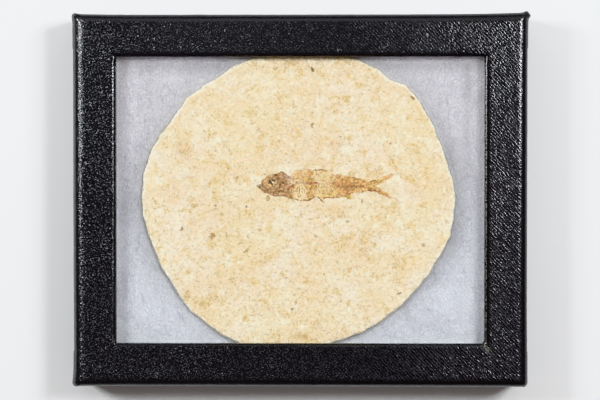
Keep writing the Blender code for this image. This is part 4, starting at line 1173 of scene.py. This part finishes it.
    # the skull's bone is broken into darker and paler crumbs
    crumb = 0.40 * noise(p3, 1.5, 141) + 0.45 * noise(p3, 2.6, 142) + 0.25 * noise(p3, 0.6, 143)
    where = head * smooth(0.0, 0.6, re_eye - 1.2)
    rgb = rgb * (1 + (np.where(crumb > 0, 0.50, 0.85) * crumb + 0.03) * where)[:, None]
    rest = body + smooth(-0.1, 0.3, upper) + smooth(-0.1, 0.3, lower)
    rgb = rgb * (1 + 0.26 * crumb * np.clip(rest, 0, 1))[:, None]
    height *= smooth(-0.35, 0.15, d + 0.8 * (cover > 0.35))
    return height, np.clip(rgb, 0, 1), np.clip(cover, 0, 1)


# Single marks on the stone, read off the picture: x, y, half-length, half-width,
# turn, strength, darkness.
MARKS = (
    (313.0, 70.0, 1.0, 0.35, -60, 0.95, 1.0), (313.0, 125.5, 1.0, 0.45, 80, 0.85, 0.8),
    (413.5, 98.5, 1.3, 0.6, -35, 0.9, 0.8), (399.5, 293.5, 0.9, 0.35, 30, 0.95, 1.0),
    (181.8, 229.0, 0.8, 0.35, 70, 0.9, 1.0), (213.2, 236.2, 1.0, 0.9, 0, 0.85, 0.62),
    (195.0, 205.9, 1.2, 0.9, 10, 0.62, 0.2), (236.3, 178.0, 1.2, 0.6, 20, 0.6, 0.5),
    (424.0, 245.2, 1.1, 0.6, 0, 0.65, 0.6), (390.0, 144.0, 0.7, 0.3, 60, 0.8, 0.9),
    (276.0, 69.0, 0.9, 0.4, 20, 0.6, 0.6), (229.5, 150.0, 0.6, 0.5, 0, 0.6, 0.6),
    (260.0, 230.0, 0.8, 0.5, 0, 0.6, 0.7), (240.4, 243.7, 1.0, 0.4, 15, 0.8, 0.75),
    (246.0, 251.5, 1.2, 0.35, 35, 0.85, 0.7), (228.0, 251.0, 1.2, 0.9, -40, 0.45, 0.3),
    (296.0, 303.0, 0.8, 0.5, 90, 0.7, 0.6), (293.0, 309.5, 0.5, 0.5, 0, 0.7, 0.7),
    (188.0, 293.0, 1.2, 0.6, 60, 0.55, 0.2), (316.0, 236.0, 0.9, 0.35, -60, 0.7, 0.8),
    (346.0, 131.0, 0.8, 0.4, 30, 0.5, 0.6), (259.0, 130.0, 0.7, 0.4, 10, 0.5, 0.6),
    (371.0, 101.0, 0.6, 0.4, 0, 0.5, 0.6), (205.5, 96.0, 1.2, 0.5, 20, 0.4, 0.3),
    (215.0, 134.0, 0.8, 0.6, 0, 0.55, 0.3), (204.0, 131.5, 0.7, 0.5, 0, 0.55, 0.4),
    (325.0, 224.5, 0.7, 0.5, 0, 0.6, 0.6), (311.0, 219.0, 1.0, 0.35, 15, 0.6, 0.6),
    (318.0, 218.5, 0.6, 0.4, 0, 0.6, 0.6), (302.0, 215.0, 0.6, 0.5, 60, 0.5, 0.4),
    (342.0, 215.0, 1.4, 1.2, 0, 0.4, 0.25), (348.0, 222.0, 0.7, 0.4, 0, 0.6, 0.6),
    (246.5, 206.5, 0.5, 0.3, 70, 0.75, 0.9), (215.5, 205.8, 0.5, 0.35, 20, 0.75, 0.9),
    (223.0, 214.5, 0.6, 0.6, 0, 0.6, 0.4), (248.5, 237.6, 0.6, 0.5, 0, 0.65, 0.5),
    (330.0, 340.0, 0.6, 0.4, 0, 0.5, 0.6), (366.0, 250.0, 3.2, 1.6, 30, 0.35, 0.2),
    (337.0, 144.0, 2.2, 2.0, 0, 0.40, 0.0), (184.0, 150.0, 3.0, 3.4, 20, 0.38, 0.05),
    (290.0, 64.0, 1.4, 0.9, 0, 0.45, 0.1), (378.0, 172.0, 1.6, 1.0, 10, 0.35, 0.1),
    (352.0, 174.0, 1.5, 1.0, 0, 0.38, 0.1), (300.0, 337.0, 3.0, 1.2, 5, 0.42, 0.1),
    (187.0, 297.0, 2.2, 1.4, 50, 0.32, 0.0), (262.0, 262.0, 2.6, 1.2, 20, 0.34, 0.1),
    (410.0, 205.0, 1.8, 1.2, 60, 0.30, 0.1), (255.0, 113.0, 2.0, 1.0, 0, 0.30, 0.1),
)


def stone():
    rng = np.random.default_rng(7)
    M = 760
    theta = np.linspace(-math.pi, math.pi, M, endpoint=False)
    R = outline_radius(theta)
    unit = np.column_stack([np.cos(theta), np.sin(theta)])
    p = np.column_stack([unit * R[:, None], 0 * R])
    # how deep the rim is chipped here: ragged, with some wider flakes
    chip = 0.12 + 0.26 * smooth(-0.1, 0.7, fbm(p, 0.10, 2, 81)) + 0.12 * np.abs(fbm(p, 0.45, 3, 82))
    lip = 0.22 + 0.35 * smooth(-0.3, 0.6, fbm(p, 0.13, 2, 83))
    edge_r = R - chip

    # ---- points of the top: fine over the fish, coarser elsewhere
    def lattice(x0, x1, y0, y1, s):
        xs = np.arange(x0, x1, s)
        ys = np.arange(y0, y1, s * 0.866)
        X, Y = np.meshgrid(xs, ys)
        X[::2] += s / 2
        return np.column_stack([X.ravel(), Y.ravel()]) + rng.normal(0, 0.03 * s, (X.size, 2))

    fine = lattice(-15.6, 34.6, -1.9, 11.3, 0.150)
    wide = lattice(-55, 55, -53, 53, 0.525)
    box = (wide[:, 0] > -15.8) & (wide[:, 0] < 34.8) & (wide[:, 1] > -2.1) & (wide[:, 1] < 11.5)
    wide = wide[~box]
    # and finer round each small mark
    marked = []
    for mx, my, a, b, turn, strength, depth in MARKS:
        cx, cy = px(mx, my)
        if a > 1.45 or (-16.4 < cx < 35.4 and -2.7 < cy < 12.1):
            continue
        reach = 1.25 * a + 0.35
        wide = wide[np.hypot(wide[:, 0] - cx, wide[:, 1] - cy) > reach + 0.12]
        for q in marked:
            q[:] = np.where((np.hypot(q[:, 0] - cx, q[:, 1] - cy) < reach + 0.10)[:, None], np.nan, q)
        disc = lattice(cx - reach, cx + reach, cy - reach, cy + reach, 0.20)
        marked.append(disc[np.hypot(disc[:, 0] - cx, disc[:, 1] - cy) < reach])
    marked = np.vstack(marked)
    every = np.vstack([fine, wide, marked[~np.isnan(marked[:, 0])]])
    ang = np.arctan2(every[:, 1], every[:, 0])
    room = np.interp(ang, np.append(theta, math.pi), np.append(edge_r, edge_r[0]))
    every = every[np.hypot(*every.T) < room - 0.28]
    loop = unit * edge_r[:, None]
    pts = np.vstack([loop, every])
    out = delaunay_2d_cdt([Vector(q) for q in pts], [(i, (i + 1) % M) for i in range(M)], [], 1, 1e-7)
    tris = np.array(out[2])
    tris = np.array([o[0] for o in out[3]])[tris]
    area = np.cross(pts[tris[:, 1]] - pts[tris[:, 0]], pts[tris[:, 2]] - pts[tris[:, 0]])
    tris[area < 0] = tris[area < 0][:, ::-1]

    # ---- heights of the top
    x, y = pts.T
    r = np.hypot(x, y)
    ang = np.arctan2(y, x)
    inward = np.interp(ang, np.append(theta, math.pi), np.append(R, R[0])) - r
    p3 = flat3(x, y)
    z = 0.10 * fbm(p3, 0.035, 3, 61) + 0.030 * fbm(p3, 0.35, 3, 62) + 0.012 * noise(p3, 1.6, 63)
    # thin beds split away in steps towards the rim
    shelf = inward + 1.3 * fbm(p3, 0.16, 3, 64)
    z = z - 0.10 * (1 - smooth(0.9, 1.4, shelf)) - 0.07 * (1 - smooth(2.6, 3.2, shelf)) \
        * smooth(-0.1, 0.4, fbm(p3, 0.06, 2, 65))
    z = z - 0.10 * (1 - smooth(0.1, 0.7, inward)) ** 2
    pits = np.clip(fbm(p3, 0.9, 2, 66) - 0.45, 0, 1)
    z = z - 0.25 * pits
    h, rgb, cover = np.zeros(len(pts)), np.tile(lin(228, 200, 150, STONE_GAIN), (len(pts), 1)), np.zeros(len(pts))
    zone = (x > -17) & (x < 36) & (y > -9) & (y < 13)
    hz, cz, az = fish_drawing(pts[zone])
    h[zone], rgb[zone], cover[zone] = hz, cz, az
    z = SLAB_TOP - 0.02 + np.minimum(z, 0.12) + h
    top = np.column_stack([x, y, np.minimum(z, GLASS_UNDER - 0.06)])

    # ---- broken side: rings from the top's edge down and in under the foot
    rim_z = top[:M, 2]
    levels = [(0.10, -0.35 * lip), (0.75, -lip), (1.0, -lip - 0.7), (0.93, -2.3), (1.0, -3.6),
              (0.86, -4.7), (0.55, -5.6), (0.0, SLAB_FOOT - SLAB_TOP)]
    rings = []
    for k, (out_by, drop) in enumerate(levels):
        rough = 0.28 * fbm(np.column_stack([p[:, :2], np.full(M, 1.4 * k)]), 0.5, 3, 90)
        bed = 0.12 * math.sin(1.9 * k)
        rad = edge_r + chip * out_by + (rough + bed) * (0.5 if k < 2 else 1.0)
        if k >= 5:
            rad = rad - (0.5, 1.1, 2.0)[k - 5]
        rad = np.minimum(rad, R + 0.15)
        zz = (SLAB_TOP if k > 2 else rim_z) + drop + 0.10 * noise(np.column_stack([p[:, :2], np.full(M, k)]), 0.7, 91)
        zz = np.maximum(zz, SLAB_FOOT)
        rings.append(np.column_stack([unit * rad[:, None], zz]))
    side = np.vstack(rings)
    base = len(top)
    first = np.arange(M)
    ring_of = [first] + [base + k * M + first for k in range(len(levels))]
    quads = []
    for a, b in zip(ring_of, ring_of[1:]):
        a2, b2 = np.roll(a, -1), np.roll(b, -1)
        quads.append(np.column_stack([a, b, b2, a2]))
    # ---- foot
    foot = rings[-1]
    inner = lattice(-52, 52, -50, 50, 2.2)
    ang = np.arctan2(inner[:, 1], inner[:, 0])
    rf = np.hypot(*foot[:, :2].T)
    room = np.interp(ang, np.append(theta, math.pi), np.append(rf, rf[0]))
    inner = inner[np.hypot(*inner.T) < room - 1.2]
    pts2 = np.vstack([foot[:, :2], inner])
    out = delaunay_2d_cdt([Vector(q) for q in pts2], [(i, (i + 1) % M) for i in range(M)], [], 1, 1e-7)
    tri2 = np.array([o[0] for o in out[3]])[np.array(out[2])]
    area = np.cross(pts2[tri2[:, 1]] - pts2[tri2[:, 0]], pts2[tri2[:, 2]] - pts2[tri2[:, 0]])
    tri2[area > 0] = tri2[area > 0][:, ::-1]
    under = np.column_stack([inner, SLAB_FOOT + 0.12 + 0.12 * fbm(flat3(*inner.T), 0.12, 3, 95)])
    start = base + len(side)
    last = ring_of[-1]
    tri2 = np.where(tri2 < M, last[np.minimum(tri2, M - 1)], tri2 - M + start)
    co = np.vstack([top, side, under])
    obj = build_mesh("fossil_slab", co, [tris] + quads + [tri2])

    n = len(co)
    spot, dark = np.zeros(n), np.zeros(n)
    Q = top[:, :2]
    wob = np.column_stack([noise(p3, 1.2, 201), noise(p3, 1.2, 202)]) * 0.25
    for mx, my, a, b, turn, strength, depth in MARKS:
        cx, cy = px(mx, my)
        near = (np.abs(Q[:, 0] - cx) < 2.5 * a + 1) & (np.abs(Q[:, 1] - cy) < 2.5 * a + 1)
        m = blob(Q[near] + wob[near], cx, cy, a, max(b, 0.31), turn, 0.45) \
            * min(1.0, 1.08 * strength) * (0.85 + 0.25 * noise(p3[near], 2.0, 203))
        old = spot[:len(top)][near]
        dk = dark[:len(top)][near]
        spot[np.flatnonzero(near)] = np.maximum(old, m)
        dark[np.flatnonzero(near)] = np.where(m > old, depth ** 1.8, dk)
    # broken rim and sides, to be painted paler: partly fresh stone, partly painted light against shade
    broken_and_painted_light = np.zeros(n)
    broken_and_painted_light[:len(top)] = 1 - smooth(0.45, 1.1, inward + 0.35 * fbm(p3, 0.8, 2, 97))
    broken_and_painted_light[len(top):] = 1.0
    full = np.zeros((n, 4))
    full[:, 3] = 1
    full[:, :3] = lin(228, 200, 150, STONE_GAIN)
    full[:len(top), :3] = rgb
    cov = np.zeros(n)
    cov[:len(top)] = cover
    attribute(obj, "fossil", full, "FLOAT_COLOR")
    attribute(obj, "cover", cov)
    attribute(obj, "spot", np.clip(spot, 0, 1))
    attribute(obj, "spot_dark", np.clip(dark, 0, 1))
    attribute(obj, "broken_and_painted_light", broken_and_painted_light)
    return finish_piece(obj, limestone(), "limestone", "limestone_slab")


stone()


# ============================================================ the pad
def pad_top(x, y):
    """Height of the polyester's upper surface: it sinks under the stone's weight
    all round the stone, more at the front than at the back left."""
    ang = np.arctan2(y, x)
    away = np.hypot(x, y) - outline_radius(ang)
    p = flat3(x, y)
    z = 14.15 + 0.22 * fbm(p, 0.07, 3, 301)
    lit = smooth(-45.0, 55.0, y + 0.35 * x)
    z = z - (1.45 - 0.85 * lit) * np.exp(-np.clip(away, 0, 99) / 4.6)
    z = z + 0.013 * fbm(p, 0.45, 3, 302) + 0.012 * noise(p, 1.6, 303)
    z = z + 0.45 * lit * np.exp(-(np.clip(away, 0, 99) / 1.0) ** 2)
    under = smooth(0.05, -1.6, away)
    z = z * (1 - under) + (SLAB_FOOT - 0.35) * under
    inside = WY - np.abs(y)                        # inward from the window's long edges
    z = z - 0.35 * (1 - smooth(-3.0, 7.0, inside)) * (1 - under)
    wall = np.minimum(PAD_X - np.abs(x), PAD_Y - np.abs(y))
    z = z - 0.4 * (1 - smooth(0.0, 2.2, wall))
    return np.minimum(z, GLASS_UNDER - 0.14)


def pad_painted_light_shade(x, y):
    """Painted light and shade on the polyester as a colour factor: 1 in the open corners, painted shade beside the
    stone, painted light at the window's edges.
    """
    away = np.hypot(x, y) - outline_radius(np.arctan2(y, x))
    side, back, front = WX - np.abs(x), WY - y, WY + y
    narrow = smooth(40.0, 8.0, np.abs(y + 2.0))
    painted_light_shade = 1.0 - (0.10 + np.where(x > 0, 0.19, 0.13) * narrow) * np.exp(-(np.clip(away, 0, 99) / 6.0) ** 2)
    painted_light_shade = painted_light_shade + 0.34 * np.exp(-(np.clip(side, 0, 99) / 1.8) ** 1.3)
    painted_light_shade = painted_light_shade + 0.40 * np.exp(-(np.clip(back, 0, 99) / 1.4) ** 2) - 0.15 * np.exp(-((back - 3.0) / 2.2) ** 2)
    # in the far half it is painted lighter beside the window's edge and painted darker a little behind that
    painted_light_shade = painted_light_shade - 0.05 * smooth(-5.0, 10.0, x) * np.exp(-((away - 2.4) / 1.8) ** 2) \
        + 0.10 * np.exp(-(np.clip(away, 0, 99) / 0.5) ** 2)
    far = smooth(2.0, 16.0, y) * smooth(0.5, 3.5, back)
    painted_light_shade = painted_light_shade + far * np.where(x > 0, 0.15 * np.exp(-((side - 1.8) / 1.4) ** 2)
                                 - 0.17 * np.exp(-((side - 5.6) / 1.7) ** 2),
                                 0.13 * np.exp(-((side - 3.2) / 2.4) ** 2))
    painted_light_shade = painted_light_shade + 0.22 * np.exp(-(np.clip(front, 0, 99) / 0.9) ** 2)
    return painted_light_shade


def pad():
    step = 0.62
    nx, ny = int(2 * PAD_X / step), int(2 * PAD_Y / step)
    gx, gy = np.linspace(-PAD_X, PAD_X, nx), np.linspace(-PAD_Y, PAD_Y, ny)
    X, Y = np.meshgrid(gx, gy)
    x, y = X.ravel(), Y.ravel()
    top = np.column_stack([x, y, pad_top(x, y)])
    quads = grid_quads(ny, nx)
    # border down to the foot, and a flat foot
    idx = np.arange(nx * ny).reshape(ny, nx)
    border = np.concatenate([idx[0, :-1], idx[:-1, -1], idx[-1, :0:-1], idx[:0:-1, 0]])
    B = top[border]
    rings, faces = [], []
    count = len(border)
    prev = border
    start = len(top)
    for k, z in enumerate((8.0, 4.5, PAD_FOOT)):
        pts = B.copy()
        pts[:, 2] = z
        rings.append(pts)
        cur = start + np.arange(count)
        faces.append(np.column_stack([prev, cur, np.roll(cur, -1), np.roll(prev, -1)]))
        prev = cur
        start += count
    foot = prev
    gx2 = np.linspace(-PAD_X, PAD_X, 30)[1:-1]
    gy2 = np.linspace(-PAD_Y, PAD_Y, 25)[1:-1]
    X2, Y2 = np.meshgrid(gx2, gy2)
    inner = np.column_stack([X2.ravel(), Y2.ravel()])
    pts2 = np.vstack([rings[-1][:, :2], inner])
    out = delaunay_2d_cdt([Vector(q) for q in pts2], [(i, (i + 1) % count) for i in range(count)], [], 1, 1e-7)
    tri = np.array([o[0] for o in out[3]])[np.array(out[2])]
    area = np.cross(pts2[tri[:, 1]] - pts2[tri[:, 0]], pts2[tri[:, 2]] - pts2[tri[:, 0]])
    tri = tri[np.abs(area) > 1e-9]
    area = area[np.abs(area) > 1e-9]
    tri[area > 0] = tri[area > 0][:, ::-1]
    tri = np.where(tri < count, foot[np.minimum(tri, count - 1)], tri - count + start)
    low = np.column_stack([inner, np.full(len(inner), PAD_FOOT)])
    obj = build_mesh("batting_pad", np.vstack([top] + rings + [low]), [quads] + faces + [tri])
    # the pad's painted light and shade, carried as a colour factor on its upper face
    painted_light_shade = np.ones(len(obj.data.vertices))
    painted_light_shade[:len(top)] = pad_painted_light_shade(x, y)
    attribute(obj, "painted_light_shade", painted_light_shade)
    finish_piece(obj, polyester("polyester_pad_material", 0.905, with_painted_light_shade=True), "batting", "batting")
    return obj


pad()


def fibres(name, count, seed, thick):
    """Loose polyester hairs lying on the pad: curved, closed, three-sided tubes."""
    rng = np.random.default_rng(seed)
    seg = 7
    got = []
    while sum(len(g) for g in got) < count:
        c = rng.uniform((-PAD_X + 2, -PAD_Y + 2), (PAD_X - 2, PAD_Y - 2), (count * 2, 2))
        away = np.hypot(*c.T) - outline_radius(np.arctan2(c[:, 1], c[:, 0]))
        got.append(c[away > 0.4])
    c = np.vstack(got)[:count]
    heading = rng.normal(math.pi / 2, 0.75, count)
    bend = rng.normal(0, 0.30, count)
    bend2 = rng.normal(0, 0.22, count)
    step = rng.uniform(0.55, 1.25, count)
    P = np.zeros((count, seg + 1, 3))
    pos = c.copy()
    for k in range(seg + 1):
        P[:, k, :2] = pos
        turn = heading + bend * k + bend2 * math.sin(1.3 * k)
        pos = pos + step[:, None] * np.column_stack([np.cos(turn), np.sin(turn)])
    x, y = np.clip(P[..., 0].ravel(), -PAD_X + 0.6, PAD_X - 0.6), np.clip(P[..., 1].ravel(), -PAD_Y + 0.6, PAD_Y - 0.6)
    away = np.hypot(x, y) - outline_radius(np.arctan2(y, x))
    z = pad_top(x, y)
    lift = (rng.uniform(-0.05, 0.12, count)[:, None] * np.sin(np.linspace(0.1, 3.0, seg + 1))[None]).ravel()
    z = np.minimum(z + 0.02 + lift, GLASS_UNDER - 0.08)
    # a hair never enters the stone: it stops short and turns down at its edge
    push = np.clip(0.35 - away, 0, None)
    r = np.hypot(x, y)
    x, y = x * (1 + push / r), y * (1 + push / r)
    P = np.column_stack([x, y, z]).reshape(count, seg + 1, 3)
    T = np.empty_like(P)
    T[:, 1:-1] = P[:, 2:] - P[:, :-2]
    T[:, 0], T[:, -1] = P[:, 1] - P[:, 0], P[:, -1] - P[:, -2]
    T /= np.maximum(np.linalg.norm(T, axis=-1, keepdims=True), 1e-9)
    side = np.cross(T, (0, 0, 1.0))
    side /= np.maximum(np.linalg.norm(side, axis=-1, keepdims=True), 1e-9)
    up = np.cross(side, T)
    rad = thick * rng.uniform(0.7, 1.3, count)[:, None, None] \
        * np.interp(np.arange(seg + 1), (0, 1, seg - 1, seg), (0.35, 1, 1, 0.35))[None, :, None]
    rings = np.stack([P + rad * (math.cos(a) * side + math.sin(a) * up)
                      for a in (math.pi / 2, math.pi * 7 / 6, math.pi * 11 / 6)], 2)
    co = rings.reshape(-1, 3)
    per = (seg + 1) * 3
    k = np.arange(seg)
    quads = []
    for s in range(3):
        s2 = (s + 1) % 3
        quads.append(np.column_stack([k * 3 + s, k * 3 + s2, k * 3 + 3 + s2, k * 3 + 3 + s]))
    quads = np.vstack(quads)
    off = (np.arange(count) * per)[:, None, None]
    Q = (quads[None] + off).reshape(-1, 4)
    caps = np.array([[0, 2, 1], [seg * 3, seg * 3 + 1, seg * 3 + 2]])
    C = (caps[None] + off).reshape(-1, 3)
    # faces look outward: check one tube and turn them all if it is inside out
    a, b, d = co[Q[0, 0]], co[Q[0, 1]], co[Q[0, 3]]
    if np.dot(np.cross(b - a, d - a), a + b - 2 * P[0, 0]) < 0:
        Q, C = Q[:, ::-1], C[:, ::-1]
    obj = build_mesh(name, co, [Q, C])
    return finish_piece(obj, FIBRE, "batting")


FIBRE = polyester("polyester_fibre_material", 1.02)
fibres("batting_fibres_fine", 4100, 11, 0.014)
fibres("batting_fibres_long", 4100, 12, 0.018)


# ============================================================ pins
def pin(name, side, node):
    n = 28
    prof = [(0.0, 0.50), (0.30, 0.495), (0.55, 0.46), (0.75, 0.38), (0.87, 0.26), (0.90, 0.14),
            (0.86, 0.03), (0.74, 0.0), (0.46, 0.0), (0.40, -0.06), (0.40, -3.0), (0.40, -8.6),
            (0.33, -9.0), (0.20, -9.5), (0.05, -9.95), (0.0, -10.0)]
    co, faces = [], []
    ang = np.linspace(0, 2 * math.pi, n, endpoint=False)
    rings = []
    for r, h in prof:
        if r == 0.0:
            rings.append(np.array([len(co)]))
            co.append((0.0, 0.0, h))
        else:
            rings.append(np.arange(len(co), len(co) + n))
            co += [(r * math.cos(a), r * math.sin(a), h) for a in ang]
    quads, tris = [], []
    for a, b in zip(rings, rings[1:]):
        if len(a) == 1:
            tris += [(a[0], b[i], b[(i + 1) % n]) for i in range(n)]
        elif len(b) == 1:
            tris += [(a[i], b[0], a[(i + 1) % n]) for i in range(n)]
        else:
            quads += [(a[i], b[i], b[(i + 1) % n], a[(i + 1) % n]) for i in range(n)]
    co = np.array(co)
    turned = np.column_stack([side * (OX + 0.1 + co[:, 2]), side * co[:, 1], 8.3 + co[:, 0] * 1.0])
    q, t = np.array(quads), np.array(tris)
    if side > 0:
        turned = np.column_stack([(OX + 0.1 + co[:, 2]), co[:, 0], 8.3 + co[:, 1]])
    else:
        turned = np.column_stack([-(OX + 0.1 + co[:, 2]), -co[:, 0], 8.3 + co[:, 1]])
    obj = build_mesh(name, turned, [q, t])
    obj.data.set_sharp_from_angle(angle=math.radians(50))
    return finish_piece(obj, STEEL, "pin_steel", node)


STEEL = pin_steel()
pin("pin_left_turned", -1, "pin_left")
pin("pin_right_turned", 1, "pin_right")


# ============================================================ the CAD pieces that stay
def dress(node, mat):
    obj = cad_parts[node]
    obj.data.materials.clear()
    obj.data.materials.append(mat)


GREY, TAPE = greyboard(), gummed_tape()
dress("lid_board", GREY)
dress("tray_board", GREY)
for strip in ("back", "front", "left", "right"):
    dress("glass_tape_" + strip, TAPE)
dress("glass_pane", clear_glass())


# ============================================================ floor, light, camera
def floor():
    s = 2.5
    mesh = bpy.data.meshes.new("floor")
    mesh.from_pydata([(-s, -s, 0), (s, -s, 0), (s, s, 0), (-s, s, 0)], [], [(0, 1, 2, 3)])
    obj = bpy.data.objects.new("floor", mesh)
    bpy.context.scene.collection.objects.link(obj)
    g = Nodes("floor_material")
    colour = g.mix(g.remap(g.noise(9.0, 2.0, 0.5), 0.3, 0.7), (0.655, 0.668, 0.682), (0.668, 0.681, 0.694))
    bsdf = g.principled(Base_Color=colour, Roughness=0.7)
    bsdf.inputs["Specular IOR Level"].default_value = 0.2
    obj.data.materials.append(g.surface(bsdf.outputs[0]))


def area(name, where, target, size_x, size_y, watts, colour=(1, 1, 1)):
    light = bpy.data.lights.new(name, "AREA")
    light.shape = "RECTANGLE"
    light.size, light.size_y = size_x, size_y
    light.energy = watts
    light.color = colour
    obj = bpy.data.objects.new(name, light)
    bpy.context.scene.collection.objects.link(obj)
    obj.location = where
    aim = Vector(target) - Vector(where)
    obj.rotation_euler = aim.to_track_quat("-Z", "Y").to_euler()
    return obj


floor()
area("key_right", (0.4250, 0.1870, 0.5780), (0, 0, 0), 0.170, 0.230, 4.60, (0.985, 0.997, 1.0))
area("fill_left", (-0.5570, 0.1980, 0.5280), (0, 0, 0), 0.160, 0.243, 4.88, (0.975, 0.995, 1.0))
area("back_soft", (0.0, 2.0, 1.9), (0, 0, 0), 4.0, 2.0, 24.0, (0.97, 0.99, 1.0))

world = bpy.data.worlds.new("studio")
bpy.context.scene.world = world
world.use_nodes = True
background = world.node_tree.nodes["Background"]
background.inputs["Color"].default_value = (1.0, 0.89, 0.85, 1.0)
background.inputs["Strength"].default_value = 0.32

scene = bpy.context.scene
scene.view_settings.view_transform = "Khronos PBR Neutral"
scene.view_settings.look = "None"
scene.view_settings.exposure = 0.0
scene.view_settings.gamma = 1.0

camera = bpy.data.cameras.new("camera")
camera.lens = 100.0
camera.sensor_width = 36.0
camera.dof.use_dof = False
cam = bpy.data.objects.new("camera", camera)
scene.collection.objects.link(cam)
cam.rotation_mode = "XYZ"
cam.location = (0.00791, 0.00953, 0.58437)
cam.rotation_euler = (math.radians(-0.946), math.radians(0.783), math.radians(0.021))
scene.camera = cam
